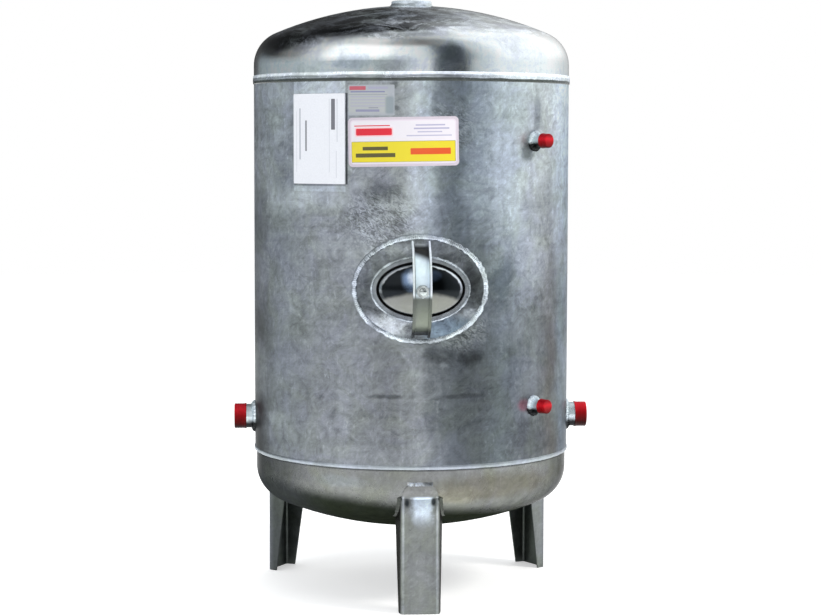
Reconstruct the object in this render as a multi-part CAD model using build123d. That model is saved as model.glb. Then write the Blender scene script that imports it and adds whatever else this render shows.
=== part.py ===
from build123d import *
import math
import os

# Free-standing galvanised well pressure tank of the 200 litre class, in millimetres.
# The origin is on the tank's axis at floor level, +Z is up and the handhole faces -Y.
# An azimuth is measured from -Y towards +X, in degrees.

# Vessel: a rolled shell, closed by two dished heads.
shell_od = 550.0
shell_wall = 2.5
shell_bottom_z = 244.0
shell_length = 640.0
head_wall = 3.0
crown_radius = 607.7
knuckle_radius = 60.0
bottom_skirt = 31.7
top_skirt = 23.3
lap_depth = 15.0
lap_gap = 0.2
joggle_height = 4.0

# Seam welds.
bottom_bead_above = 3.5
bottom_bead_below = 5.0
bottom_bead_proud = 1.6
top_bead_below = 6.0
top_bead_above = 5.5
top_bead_proud = 1.8
top_bead_edge = 1.5
seam_bead_width = 6.0
seam_bead_proud = 1.2

# Threaded sockets: G2 in the top head, G3/4 drain in the bottom head.
top_socket_od = 70.0
top_socket_bore = 56.66
top_socket_length = 34.0
top_socket_proud = 8.6
drain_socket_od = 33.0
drain_socket_bore = 24.12
drain_socket_length = 30.0
drain_socket_proud = 22.0
socket_edge = 1.5
socket_weld_leg = 5.0
hole_gap = 0.1
cut_past = 10.0

# Side nipples, G1 1/4, for the water lines, at a height above the shell's bottom edge.
side_port_rise = 53.5
side_pipe_od = 41.9
side_pipe_bore = 35.9
side_pipe_reach = 34.7
side_weld_leg = 5.0
side_cap_length = 21.0
side_cap_wall = 0.8
side_azimuths = {"left": -90.0, "right": 90.0}

# Gauge nipples, G1/2, for the level gauge: one below the shell's top edge, one above its bottom.
gauge_azimuth = 45.4
upper_gauge_drop = 102.7
lower_gauge_rise = 93.0
gauge_pipe_od = 20.95
gauge_pipe_bore = 15.8
gauge_pipe_reach = 29.0
gauge_weld_leg = 6.8
gauge_cap_length = 15.0
gauge_cap_wall = 1.35

# Every nipple runs on inside the shell, and its plastic cap has an end, a lip and grooves.
pipe_inside = 8.0
cap_end = 1.6
cap_gap = 0.05
cap_lip = 0.6
cap_lip_width = 2.4
cap_edge = 1.8
pipe_chamfer = 1.0
cap_groove_pitch = 4.4
cap_groove_depth = 0.35
cap_groove_width = 1.0

# Handhole: an oval opening through a welded neck and pad, closed from inside.
handhole_rise = 295.0
opening_width = 146.0
opening_height = 92.0
neck_wall = 5.5
neck_inside = 9.5
neck_outside = 4.0
pad_width = 209.0
pad_height = 163.0
pad_thickness = 4.0
pad_bead_width = 8.0
pad_bead_proud = 0.9
neck_bead_width = 4.0
neck_bead_height = 2.6
bead_round = 2.0
cover_gap = 4.0
cover_wall = 3.0
cover_lip = 10.0
cover_crown = 20.0
cover_rim_drop = 17.0
cover_side_drop = 25.7
cover_dome_depth = 40.0
cover_shoulder = 6.0
gasket_thickness = 3.0

# Stud, nut and washer, M12, and the bridge that they pull against.
stud_diameter = 12.0
stud_past_nut = 4.0
stud_weld_leg = 3.0
nut_flats = 19.0
nut_height = 10.8
nut_chamfer = 0.8
washer_od = 20.5
washer_thickness = 2.5
thread_gap = 0.05
washer_gap = 0.5
stud_clearance = 0.5
bridge_span = 159.0
bridge_rise = 48.0
bridge_width = 31.0
bridge_web = 4.0
bridge_lip_width = 5.0
bridge_lip_height = 4.0
bridge_edge = 1.2
seat_flat = 0.8

# Pressed channel legs, evenly spaced from the front one round by the right.
leg_names = ("front", "right", "left")
leg_inset = 0.5
leg_width = 63.0
leg_sheet = 3.0
leg_bend = 7.0
leg_splay = 11.0
leg_depth_floor = 18.0
leg_depth_growth = 0.14
leg_shoulder_radius = 85.0
leg_shoulder_height = 22.0
shoulder_steps = 4
tongue_above = 1.7
tongue_width = 59.0
tongue_shoulder = 10.0
tongue_top_width = 46.0
tongue_round = 8.0
leg_weld_leg = 5.5
leg_bead_width = 42.0
leg_bead_height = 6.0
weld_bite = 0.4
trim = 2.0

# Two stickers and a taped-on booklet: width and height, then the centre's distance round the
# shell from the front and its drop from the shell's top edge.
booklet_size = (105.0, 148.0)
booklet_place = (-179.5, 100.0)
booklet_thickness = 1.5
booklet_corner = 1.0
label_size = (184.0, 80.0)
label_place = (-29.3, 104.5)
label_tilt = 1.0
label_corner = 7.0
rating_size = (78.0, 50.0)
rating_place = (-82.1, 37.2)
rating_corner = 2.0
sticker_thickness = 0.25
glue_line = 0.05

# How close two sizes are when they count as the same, to pick edges and corners.
nearly = 0.01

# Worked out from the sizes above.
shell_r = shell_od / 2
skirt_r = shell_r - shell_wall - lap_gap
shell_top_z = shell_bottom_z + shell_length
bottom_tangent_z = shell_bottom_z - bottom_skirt
top_tangent_z = shell_top_z + joggle_height + top_skirt
skirt_length = bottom_skirt + lap_depth
pad_r = shell_r + pad_thickness
neck_r = pad_r + neck_outside
neck_inner_r = shell_r - shell_wall - neck_inside
neck_width = opening_width + 2 * neck_wall
neck_height = opening_height + 2 * neck_wall
leg_face_r = shell_r - leg_inset
side_port_z = shell_bottom_z + side_port_rise
gauge_heights = {"upper": shell_top_z - upper_gauge_drop, "lower": shell_bottom_z + lower_gauge_rise}
handhole_z = shell_bottom_z + handhole_rise


def turned(start, *steps):
    """Solid turned about Z. A step is a corner (r, z), or an arc's middle and end as a pair."""
    edges, here = [], (start[0], 0, start[1])
    for step in steps + (start,):
        if isinstance(step[0], tuple):
            middle, end = [(r, 0, z) for r, z in step]
            edges.append(ThreePointArc(here, middle, end))
        else:
            end = (step[0], 0, step[1])
            edges.append(Line(here, end))
        here = end
    return revolve(make_face(Curve() + edges), Axis.Z, 360)


def radial(azimuth, z):
    """Plane on the tank's axis whose normal points outwards at an azimuth, its x axis level."""
    a = math.radians(azimuth)
    return Plane(
        origin=(0, 0, z),
        x_dir=(math.cos(a), math.sin(a), 0),
        z_dir=(math.sin(a), -math.cos(a), 0),
    )


def drum(radius, low_z, high_z):
    """Filled upright cylinder on the tank's axis."""
    return Pos(0, 0, (low_z + high_z) / 2) * Cylinder(radius, high_z - low_z)


def wall(inner_r, outer_r, low_z, high_z):
    """Round upright wall between two radii."""
    return drum(outer_r, low_z, high_z) - drum(inner_r, low_z, high_z)


def head_outline(radius, tangent_z, up, grow=0.0):
    """Dished head from its tangent line to its pole, as steps for turned, grown by a thickness."""
    centre_r = radius - knuckle_radius
    back = math.sqrt((crown_radius - knuckle_radius) ** 2 - centre_r**2)
    lean = math.atan2(back, centre_r)
    knuckle = knuckle_radius + grow
    crown = crown_radius + grow

    def on_knuckle(a):
        return centre_r + knuckle * math.cos(a), tangent_z + up * knuckle * math.sin(a)

    def on_crown(a):
        return crown * math.cos(a), tangent_z + up * (crown * math.sin(a) - back)

    pole = (0.0, tangent_z + up * (crown - back))
    crown_middle = on_crown((lean + math.pi / 2) / 2)
    return on_knuckle(0), (on_knuckle(lean / 2), on_knuckle(lean)), (crown_middle, pole)


def head_fill(radius, tangent_z, up, grow=0.0):
    """Everything behind a head's outer face and skirt, to seat other pieces on it."""
    start, knuckle, crown = head_outline(radius, tangent_z, up, grow)
    behind = tangent_z - up * skirt_length
    return turned((start[0], behind), start, knuckle, crown, (0.0, behind))


def pole_z(radius, tangent_z, up):
    """Height of a head's outer pole."""
    return head_outline(radius, tangent_z, up)[2][1][1]


def knuckle_r_at(z):
    """Radius of the bottom head's outer face at a height on its knuckle."""
    return skirt_r - knuckle_radius + math.sqrt(knuckle_radius**2 - (bottom_tangent_z - z) ** 2)


def knuckle_z_at(r):
    """Height of the bottom head's outer face at a radius on its knuckle."""
    return bottom_tangent_z - math.sqrt(knuckle_radius**2 - (r - skirt_r + knuckle_radius) ** 2)


def oval_bar(width, height, near, far):
    """Oval bar out through the handhole, between two distances from the tank's axis."""
    return extrude(radial(0, handhole_z).offset(near) * Ellipse(width / 2, height / 2), far - near)


def oval_ring(width, height, rim, inner_r, outer_r):
    """Oval ring round a width by height opening, with both ends following the shell's curve."""
    near, far = shell_r / 2, outer_r + cut_past
    bar = oval_bar(width + 2 * rim, height + 2 * rim, near, far) - oval_bar(width, height, near, far)
    return bar & wall(inner_r, outer_r, handhole_z - height, handhole_z + height)


def rounded_ring(width, height, rim, inner_r, outer_r):
    """Oval ring of weld metal with its outer top edge rounded off."""
    ring = oval_ring(width, height, rim, inner_r, outer_r)
    crest = [e for e in ring.edges() if abs(math.hypot((e @ 0.3).X, (e @ 0.3).Y) - outer_r) < nearly]
    return fillet(max(crest, key=lambda e: e.length), bead_round)


parts = {}

# Shell, rolled from sheet and closed by one long seam at the back.
shell = wall(shell_r - shell_wall, shell_r, shell_bottom_z, shell_top_z)
neck_hole_width = neck_width + 2 * hole_gap
neck_hole_height = neck_height + 2 * hole_gap
neck_hole = oval_bar(neck_hole_width, neck_hole_height, shell_r / 2, pad_r + cut_past)
shell -= neck_hole
side_punch = Pos(0, 0, shell_r) * Cylinder(side_pipe_od / 2 + hole_gap, 2 * (shell_wall + cut_past))
for azimuth in side_azimuths.values():
    shell -= radial(azimuth, side_port_z) * side_punch
gauge_punch = Pos(0, 0, shell_r) * Cylinder(gauge_pipe_od / 2 + hole_gap, 2 * (shell_wall + cut_past))
for height in gauge_heights.values():
    shell -= radial(gauge_azimuth, height) * gauge_punch
parts["shell"] = shell

seam_low = shell_bottom_z + bottom_bead_above
seam_high = shell_top_z - top_bead_below
seam_half = seam_bead_width / 2
seam_section = make_face(
    Polyline(
        (-seam_half, shell_r - shell_wall),
        (-seam_half, shell_r + seam_bead_proud / 3),
        (-seam_half / 2, shell_r + seam_bead_proud),
        (seam_half / 2, shell_r + seam_bead_proud),
        (seam_half, shell_r + seam_bead_proud / 3),
        (seam_half, shell_r - shell_wall),
        close=True,
    )
)
seam_bar = extrude(Plane.XY.offset(seam_low) * seam_section, seam_high - seam_low)
parts["shell_seam_weld"] = seam_bar - drum(shell_r, 0, shell_top_z)

# Bottom head: its skirt slips up inside the shell, and a fillet weld fills the step.
inner_start, inner_knuckle, inner_crown = head_outline(skirt_r, bottom_tangent_z, -1, -head_wall)
bottom_edge_z = shell_bottom_z + lap_depth
bottom_fill = head_fill(skirt_r, bottom_tangent_z, -1)
bottom_hollow = turned(
    (inner_start[0], bottom_edge_z), inner_start, inner_knuckle, inner_crown, (0.0, bottom_edge_z)
)
drain_r = drain_socket_od / 2
parts["bottom_head"] = bottom_fill - bottom_hollow - drum(drain_r + hole_gap, 0, bottom_tangent_z)

parts["bottom_seam_weld"] = turned(
    (skirt_r, shell_bottom_z),
    (shell_r, shell_bottom_z),
    (shell_r, shell_bottom_z + bottom_bead_above),
    ((shell_r + bottom_bead_proud, shell_bottom_z), (skirt_r, shell_bottom_z - bottom_bead_below)),
)

# Top head: flush with the shell, with a joggled skirt inside it, under a flat raised weld.
top_fill = head_fill(shell_r, top_tangent_z, 1)
joggle_z = shell_top_z + joggle_height
top_edge_z = shell_top_z - lap_depth
start, knuckle, crown = head_outline(shell_r, top_tangent_z, 1)
inner_start, inner_knuckle, inner_crown = head_outline(shell_r, top_tangent_z, 1, -head_wall)
top_outside = turned(
    (skirt_r, top_edge_z),
    (skirt_r, shell_top_z),
    (shell_r, joggle_z),
    start,
    knuckle,
    crown,
    (0.0, top_edge_z),
)
top_hollow = turned(
    (skirt_r - head_wall, top_edge_z),
    (skirt_r - head_wall, shell_top_z),
    (shell_r - head_wall, joggle_z),
    inner_start,
    inner_knuckle,
    inner_crown,
    (0.0, top_edge_z),
)
socket_r = top_socket_od / 2
top_pole_z = pole_z(shell_r, top_tangent_z, 1)
top_hole = drum(socket_r + hole_gap, top_tangent_z, top_pole_z + cut_past)
parts["top_head"] = top_outside - top_hollow - top_hole

bead_r = shell_r + top_bead_proud
bead_shoulder_r = shell_r + 0.7 * top_bead_proud
bead_low = shell_top_z - top_bead_below
bead_high = joggle_z + top_bead_above
bead_middle = (bead_low + bead_high) / 2
parts["top_seam_weld"] = turned(
    (skirt_r, shell_top_z),
    (shell_r, shell_top_z),
    (shell_r, bead_low),
    (bead_shoulder_r, bead_low + top_bead_edge),
    ((bead_r, bead_middle), (bead_shoulder_r, bead_high - top_bead_edge)),
    (shell_r, bead_high),
    (shell_r, joggle_z),
)


def socket_weld(radius, tangent_z, up, boss_r):
    """Fillet weld between a boss and the crown of a head."""
    centre_z = pole_z(radius, tangent_z, up) - up * crown_radius

    def on_crown(r, proud=0.0):
        return r, centre_z + up * (math.sqrt(crown_radius**2 - r**2) + proud)

    middle = on_crown(boss_r + socket_weld_leg / 2)
    toe = on_crown(boss_r + socket_weld_leg)
    waist = on_crown(boss_r + socket_weld_leg * 0.4, socket_weld_leg * 0.4)
    return turned(on_crown(boss_r), (middle, toe), (waist, on_crown(boss_r, socket_weld_leg)))


# Sockets in the poles of the two heads, each a plain round boss with a threaded bore.
socket_top_z = top_pole_z + top_socket_proud
socket_low_z = socket_top_z - top_socket_length
bore_r = top_socket_bore / 2
parts["top_socket"] = turned(
    (bore_r, socket_low_z),
    (socket_r, socket_low_z),
    (socket_r, socket_top_z - socket_edge),
    (socket_r - socket_edge, socket_top_z),
    (bore_r + socket_edge, socket_top_z),
    (bore_r, socket_top_z - socket_edge),
)
parts["top_socket_weld"] = socket_weld(shell_r, top_tangent_z, 1, socket_r)

bottom_pole_z = pole_z(skirt_r, bottom_tangent_z, -1)
drain_low_z = bottom_pole_z - drain_socket_proud
drain_high_z = drain_low_z + drain_socket_length
bore_r = drain_socket_bore / 2
parts["drain_socket"] = turned(
    (bore_r, drain_high_z),
    (drain_r, drain_high_z),
    (drain_r, drain_low_z + socket_edge),
    (drain_r - socket_edge, drain_low_z),
    (bore_r + socket_edge, drain_low_z),
    (bore_r, drain_low_z + socket_edge),
)
parts["drain_socket_weld"] = socket_weld(skirt_r, bottom_tangent_z, -1, drain_r)


def capped_nipple(name, place, pipe_od, bore, reach, weld_leg, cap_length, cap_wall):
    """Threaded pipe through the shell, its weld fillet and its plastic thread cap."""
    pipe_r = pipe_od / 2
    end = shell_r + reach
    parts[name] = place * turned(
        (bore / 2, shell_r - shell_wall - pipe_inside),
        (pipe_r, shell_r - shell_wall - pipe_inside),
        (pipe_r, end - pipe_chamfer),
        (pipe_r - pipe_chamfer, end),
        (bore / 2, end),
    )
    fillet_weld = turned(
        (pipe_r, shell_r - cut_past),
        (pipe_r + weld_leg, shell_r - cut_past),
        (pipe_r + weld_leg, shell_r),
        (pipe_r + weld_leg / 4, shell_r + weld_leg / 2),
        (pipe_r, shell_r + weld_leg),
    )
    parts[name + "_weld"] = place * fillet_weld - drum(shell_r, 0, shell_top_z)

    inner = pipe_r + cap_gap
    outer = inner + cap_wall
    tip = end + cap_gap + cap_end
    mouth = tip - cap_length
    lip = outer + cap_lip
    lip_end = mouth + cap_lip_width
    steps = [(inner, mouth), (lip, mouth), (lip, lip_end), (outer, lip_end + cap_lip)]
    groove = lip_end + cap_groove_pitch
    while groove + cap_groove_width < tip - cap_edge - cap_groove_width:
        steps += [
            (outer, groove),
            (outer - cap_groove_depth, groove + cap_groove_width / 3),
            (outer - cap_groove_depth, groove + cap_groove_width * 2 / 3),
            (outer, groove + cap_groove_width),
        ]
        groove += cap_groove_pitch
    bevel = cap_edge * (1 - math.sqrt(0.5))
    rounding = ((outer - bevel, tip - bevel), (outer - cap_edge, tip))
    steps += [(outer, tip - cap_edge), rounding, (0.0, tip), (0.0, tip - cap_end), (inner, tip - cap_end)]
    parts[name + "_cap"] = place * turned(*steps)


for side, azimuth in side_azimuths.items():
    capped_nipple(
        side + "_nipple",
        radial(azimuth, side_port_z),
        side_pipe_od,
        side_pipe_bore,
        side_pipe_reach,
        side_weld_leg,
        side_cap_length,
        side_cap_wall,
    )
for level, height in gauge_heights.items():
    capped_nipple(
        level + "_gauge_nipple",
        radial(gauge_azimuth, height),
        gauge_pipe_od,
        gauge_pipe_bore,
        gauge_pipe_reach,
        gauge_weld_leg,
        gauge_cap_length,
        gauge_cap_wall,
    )

# Handhole pad, an oval doubler that hugs the shell, and the oval neck through both.
pad_bar = oval_bar(pad_width, pad_height, shell_r / 2, pad_r + cut_past)
pad_layer = wall(shell_r, pad_r, handhole_z - pad_height, handhole_z + pad_height)
parts["handhole_pad"] = (pad_bar & pad_layer) - neck_hole
parts["handhole_pad_weld"] = rounded_ring(
    pad_width, pad_height, pad_bead_width, shell_r, pad_r + pad_bead_proud
)
parts["handhole_neck"] = oval_ring(opening_width, opening_height, neck_wall, neck_inner_r, neck_r)
parts["handhole_neck_weld"] = rounded_ring(
    neck_width, neck_height, neck_bead_width, pad_r, pad_r + neck_bead_height
)

# Cover: an oval pressed cup, put in through the opening and pulled out against its gasket.
flange_r = neck_inner_r - gasket_thickness
flange_inner_r = flange_r - cover_wall
cup_width = opening_width - 2 * cover_gap
cup_height = opening_height - 2 * cover_gap
flange_width = opening_width + 2 * cover_lip
flange_height = opening_height + 2 * cover_lip
crown_r = neck_r + cover_crown
dome_centre_r = crown_r - cover_dome_depth
semi_z = cup_height / 2 / math.sqrt(1 - (1 - cover_rim_drop / cover_dome_depth) ** 2)
semi_x = cup_width / 2 / math.sqrt(1 - (1 - cover_side_drop / cover_dome_depth) ** 2)


def cup_form(thinner):
    """Filled cup of the cover, smaller all round by a thickness."""
    width, height = cup_width - 2 * thinner, cup_height - 2 * thinner
    depth = cover_dome_depth - thinner
    ball = scale(Sphere(1), by=(semi_x - thinner, depth, semi_z - thinner))
    dome = oval_bar(width, height, dome_centre_r, crown_r) & (Pos(0, -dome_centre_r, handhole_z) * ball)
    form = dome + oval_bar(width, height, shell_r / 2, dome_centre_r)
    rims = [e for e in form.edges() if (e @ 0.25).Y < nearly - dome_centre_r]
    return fillet(max(rims, key=lambda e: e.length), cover_shoulder - thinner)


cup_outside = cup_form(0.0)
cup_inside = cup_form(cover_wall)
flange_bar = oval_bar(flange_width, flange_height, shell_r / 2, shell_r)
flange_low_z = handhole_z - flange_height
flange = flange_bar & wall(flange_inner_r, flange_r, flange_low_z, handhole_z + flange_height)
parts["handhole_cover"] = (cup_outside - drum(flange_inner_r, 0, shell_top_z)) + flange - cup_inside
parts["cover_gasket"] = oval_ring(cup_width, cup_height, cover_gap + cover_lip, flange_r, neck_inner_r)

# Bridge: an arched channel over the opening, with its feet on the pad.
lip_ring_r = (bridge_span**2 / 4 + bridge_rise**2) / (2 * bridge_rise)
web_ring_r = lip_ring_r - bridge_lip_height
inner_ring_r = web_ring_r - bridge_web
ring_centre_r = pad_r + bridge_rise - lip_ring_r
web_r = ring_centre_r + web_ring_r
seat_r = web_r - seat_flat


def on_stud(low, high, outer_r, inner_r=0.0):
    """Round piece on the stud's axis, between two distances from the tank's axis."""
    solid = Cylinder(outer_r, high - low)
    if inner_r:
        solid -= Cylinder(inner_r, high - low)
    return radial(0, handhole_z) * Pos(0, 0, (low + high) / 2) * solid


channel_half = bridge_width / 2 - bridge_lip_width
bridge_half = bridge_width / 2
channel_outline = make_face(
    Polyline(
        (inner_ring_r, -bridge_half),
        (lip_ring_r, -bridge_half),
        (lip_ring_r, -channel_half),
        (web_ring_r, -channel_half),
        (web_ring_r, channel_half),
        (lip_ring_r, channel_half),
        (lip_ring_r, bridge_half),
        (inner_ring_r, bridge_half),
        close=True,
    )
)
lip_corners = channel_outline.vertices().filter_by(lambda v: abs(v.X - lip_ring_r) < nearly)
channel_outline = fillet(lip_corners, bridge_edge)
arch = Rot(0, 0, -90) * revolve(Plane.XZ * channel_outline, Axis.Z, 180)
arch_place = Plane(origin=(0, -ring_centre_r, handhole_z), x_dir=(0, -1, 0), z_dir=(1, 0, 0))
bridge = arch_place * arch - drum(pad_r, 0, shell_top_z)
stud_r = stud_diameter / 2
bridge -= on_stud(crown_r, web_r + cut_past, stud_r + stud_clearance)
bridge -= on_stud(seat_r, web_r + cut_past, washer_od / 2 + washer_gap)
parts["bridge"] = bridge

# Stud, welded to the crown of the cover, with its washer and nut in the bridge's channel.
washer_r = seat_r + washer_thickness
nut_r = washer_r + nut_height
parts["cover_stud"] = on_stud(dome_centre_r, nut_r + stud_past_nut, stud_r) - cup_outside
weld_cone = turned(
    (stud_r, crown_r - cut_past),
    (stud_r + stud_weld_leg, crown_r - cut_past),
    (stud_r + stud_weld_leg, crown_r - stud_weld_leg / 4),
    (stud_r, crown_r + stud_weld_leg),
)
parts["cover_stud_weld"] = radial(0, handhole_z) * weld_cone - cup_outside
parts["bridge_washer"] = on_stud(seat_r, washer_r, washer_od / 2, stud_r + stud_clearance)
across_corners = nut_flats / math.cos(math.pi / 6)
hexagon = Plane.XY.offset(washer_r) * RegularPolygon(nut_flats / 2, 6, major_radius=False, rotation=30)
corner_r = across_corners / 2
rounded_blank = turned(
    (stud_r + thread_gap, washer_r),
    (corner_r - nut_chamfer, washer_r),
    (corner_r, washer_r + nut_chamfer / 2),
    (corner_r, nut_r - nut_chamfer / 2),
    (corner_r - nut_chamfer, nut_r),
    (stud_r + thread_gap, nut_r),
)
parts["bridge_nut"] = radial(0, handhole_z) * (extrude(hexagon, nut_height) & rounded_blank)

# Legs: channels pressed from sheet, trimmed to the bottom head, with a tongue that hugs it.
splay = math.radians(leg_splay)
tongue_top_z = bottom_tangent_z + tongue_above
shoulder_top_z = knuckle_z_at(leg_face_r - leg_sheet - leg_shoulder_height**2 / (2 * leg_shoulder_radius))
shoulder_low_z = shoulder_top_z - leg_shoulder_height


def leg_face_at(z):
    """Radius of a leg's face, which is upright and then leans in to the head over a shoulder."""
    rise = max(0.0, z - shoulder_low_z)
    return leg_face_r - leg_shoulder_radius + math.sqrt(leg_shoulder_radius**2 - rise**2)


def leg_section(z):
    """Level section of the channel at a height, open towards the tank's axis."""
    depth = leg_depth_floor + leg_depth_growth * z
    face_r = leg_face_at(z)
    half = leg_width / 2 + (leg_face_r - face_r) * math.tan(splay)
    back = leg_width / 2 + depth * math.tan(splay)
    across = leg_sheet / math.cos(splay)
    inner_half = half + leg_sheet * math.tan(splay) - across
    outline = Polyline(
        (-back, depth - leg_face_r),
        (-half, -face_r),
        (half, -face_r),
        (back, depth - leg_face_r),
        (back - across, depth - leg_face_r),
        (inner_half, leg_sheet - face_r),
        (-inner_half, leg_sheet - face_r),
        (across - back, depth - leg_face_r),
        close=True,
    )
    face = make_face(outline)
    outer = face.vertices().filter_by(lambda v: abs(v.Y + face_r) < nearly)
    face = fillet(outer, leg_bend)
    inner = face.vertices().filter_by(lambda v: abs(v.Y + face_r - leg_sheet) < nearly)
    face = fillet([v for v in inner if abs(abs(v.X) - inner_half) < 0.01], leg_bend - leg_sheet)
    return Plane.XY.offset(z) * face


def meeting_point(z):
    """Where the flange's outer face meets the bottom head, as (sideways, outwards)."""
    t = math.tan(splay)
    rim = knuckle_r_at(z)
    a = 1 + t * t
    b = 2 * leg_face_r - leg_width * t
    c = leg_width**2 / 4 + leg_face_r**2 - rim**2
    depth = (b - math.sqrt(b * b - 4 * a * c)) / (2 * a)
    return leg_width / 2 + depth * t, leg_face_r - depth


def flange_back_z():
    """Height at which the flange's rear edge runs into the bottom head."""
    z = shoulder_top_z
    for _ in range(8):
        depth = leg_depth_floor + leg_depth_growth * z
        z = knuckle_z_at(math.hypot(leg_width / 2 + depth * math.tan(splay), leg_face_r - depth))
    return z


def flange_fillet(side):
    """Fillet weld between one flange's outer face and the bottom head."""
    low, high = flange_back_z(), shoulder_top_z + trim
    sections = []
    for i in range(4):
        z = low + (high - low) * i / 3
        x, out = meeting_point(z)
        rim = knuckle_r_at(z) - weld_bite
        turn = math.atan2(x, out) + leg_weld_leg / rim
        run = leg_weld_leg * math.cos(splay)
        on_flange = (x - leg_weld_leg * math.sin(splay) - weld_bite, out + run)
        on_head = (rim * math.sin(turn), rim * math.cos(turn))
        corners = [(x - 2 * weld_bite, out - 2 * weld_bite), on_flange, on_head]
        outline = Polyline(*[(side * px, -py) for px, py in corners], close=True)
        sections.append(Plane.XY.offset(z) * make_face(outline))
    return loft(sections, ruled=True)


tongue_half = tongue_width / 2
tongue_outline = make_face(
    Polyline(
        (-tongue_half, shoulder_top_z - trim),
        (-tongue_half, shoulder_top_z + tongue_shoulder),
        (-tongue_top_width / 2, tongue_top_z),
        (tongue_top_width / 2, tongue_top_z),
        (tongue_half, shoulder_top_z + tongue_shoulder),
        (tongue_half, shoulder_top_z - trim),
        close=True,
    )
)
tongue_corners = tongue_outline.vertices().filter_by(lambda v: abs(v.Y - tongue_top_z) < nearly)
tongue_outline = fillet(tongue_corners, tongue_round)
tongue_bar = extrude(radial(0, 0).offset(shell_r / 2) * tongue_outline, shell_r)
tongue = tongue_bar & (head_fill(skirt_r, bottom_tangent_z, -1, leg_sheet) - bottom_fill)
straight = loft([leg_section(0), leg_section(shoulder_low_z)], ruled=True)
bent_rise = bottom_tangent_z - shoulder_low_z
bent = loft([leg_section(shoulder_low_z + bent_rise * i / shoulder_steps) for i in range(shoulder_steps + 1)])
leg = straight + bent - bottom_fill + tongue

bead_crest = (skirt_r + 0.75 * leg_sheet, tongue_top_z + leg_bead_height / 2)
bead_profile = turned(
    (skirt_r, tongue_top_z),
    (skirt_r + 0.9 * leg_sheet, tongue_top_z),
    (bead_crest, (skirt_r, tongue_top_z + leg_bead_height)),
)
bead_plane = radial(0, tongue_top_z + leg_bead_height / 2).offset(shell_r / 2)
bead_window = RectangleRounded(leg_bead_width, leg_bead_height + trim, leg_bead_height / 3)
leg_weld = bead_profile & extrude(bead_plane * bead_window, shell_r)
for side in (-1, 1):
    leg_weld += flange_fillet(side) - bottom_fill - leg
for i, name in enumerate(leg_names):
    turn = Rot(0, 0, i * 360 / len(leg_names))
    parts["leg_" + name] = turn * leg
    parts["leg_" + name + "_weld"] = turn * leg_weld


def patch(place, size, corner, tilt, inner_r, outer_r):
    """Thin rectangle that follows the shell's curve."""
    azimuth = math.degrees(place[0] / shell_r)
    z = shell_top_z - place[1]
    chord = 2 * shell_r * math.sin(size[0] / shell_r / 2)
    outline = Rot(0, 0, tilt) * RectangleRounded(chord, size[1], corner)
    bar = extrude(radial(azimuth, z).offset(shell_r / 2) * outline, shell_r)
    return bar & wall(inner_r, outer_r, z - size[1], z + size[1])


# Paper and stickers on the shell.
face_r = shell_r + glue_line
sticker_r = face_r + sticker_thickness
parts["main_label"] = patch(label_place, label_size, label_corner, label_tilt, face_r, sticker_r)
parts["rating_label"] = patch(rating_place, rating_size, rating_corner, 0.0, face_r, sticker_r)
parts["instruction_booklet"] = patch(
    booklet_place, booklet_size, booklet_corner, 0.0, face_r, face_r + booklet_thickness
)

os.makedirs("parts", exist_ok=True)
for name, solid in parts.items():
    export_step(solid, "parts/" + name + ".step")
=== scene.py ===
import math

import bmesh
import bpy
import numpy as np
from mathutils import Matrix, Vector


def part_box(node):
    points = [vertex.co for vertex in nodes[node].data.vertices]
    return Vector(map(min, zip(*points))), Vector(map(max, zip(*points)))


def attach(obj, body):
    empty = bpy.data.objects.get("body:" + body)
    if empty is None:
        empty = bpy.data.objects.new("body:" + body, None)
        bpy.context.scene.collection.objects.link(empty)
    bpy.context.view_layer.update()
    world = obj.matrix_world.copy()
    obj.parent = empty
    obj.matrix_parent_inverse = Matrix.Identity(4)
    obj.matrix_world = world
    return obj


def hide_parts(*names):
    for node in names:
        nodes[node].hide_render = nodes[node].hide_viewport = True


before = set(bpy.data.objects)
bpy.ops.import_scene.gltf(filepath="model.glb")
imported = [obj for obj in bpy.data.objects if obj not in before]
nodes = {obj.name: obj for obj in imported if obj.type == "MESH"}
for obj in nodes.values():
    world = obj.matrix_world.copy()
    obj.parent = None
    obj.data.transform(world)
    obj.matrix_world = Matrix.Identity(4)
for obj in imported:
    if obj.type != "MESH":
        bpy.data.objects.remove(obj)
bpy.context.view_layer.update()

# THE GROUND AND THE FLOOR
# A plain pale floor on a white ground, with soft light from all round. Rays from the camera and from
# metal see the ground as white and the floor a little lifted, and the floor keeps the shadow.
SCENE = bpy.context.scene
SCENE.view_settings.view_transform = "Standard"


def node(tree, kind, feeds=(), **settings):
    """Adds a shader node. Its inputs are fed, by place or by name, from sockets or with values."""
    made = tree.nodes.new("ShaderNode" + kind)
    for key, value in settings.items():
        setattr(made, key, value)
    pairs = feeds.items() if isinstance(feeds, dict) else enumerate(feeds)
    for key, value in pairs:
        if isinstance(value, bpy.types.NodeSocket):
            tree.links.new(value, made.inputs[key])
        elif value is not None:
            made.inputs[key].default_value = value
    return made


def calc(tree, operation, *values):
    """One sum on one or two values."""
    return node(tree, "Math", values, operation=operation).outputs[0]


def times(tree, product, *values):
    """Product of two or more values."""
    for value in values:
        product = calc(tree, "MULTIPLY", product, value)
    return product


def blend(tree, share, low, high):
    """Mixes two colours by a share."""
    return node(tree, "Mix", {0: share, 6: low, 7: high}, data_type="RGBA").outputs[2]


def seen_directly(tree):
    """1 for camera, glossy and transmission rays, which show the white ground, or else 0."""
    path = node(tree, "LightPath").outputs
    rays = calc(tree, "ADD", path["Is Camera Ray"], path["Is Glossy Ray"])
    return calc(tree, "MINIMUM", calc(tree, "ADD", rays, path["Is Transmission Ray"]), 1.0)


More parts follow.
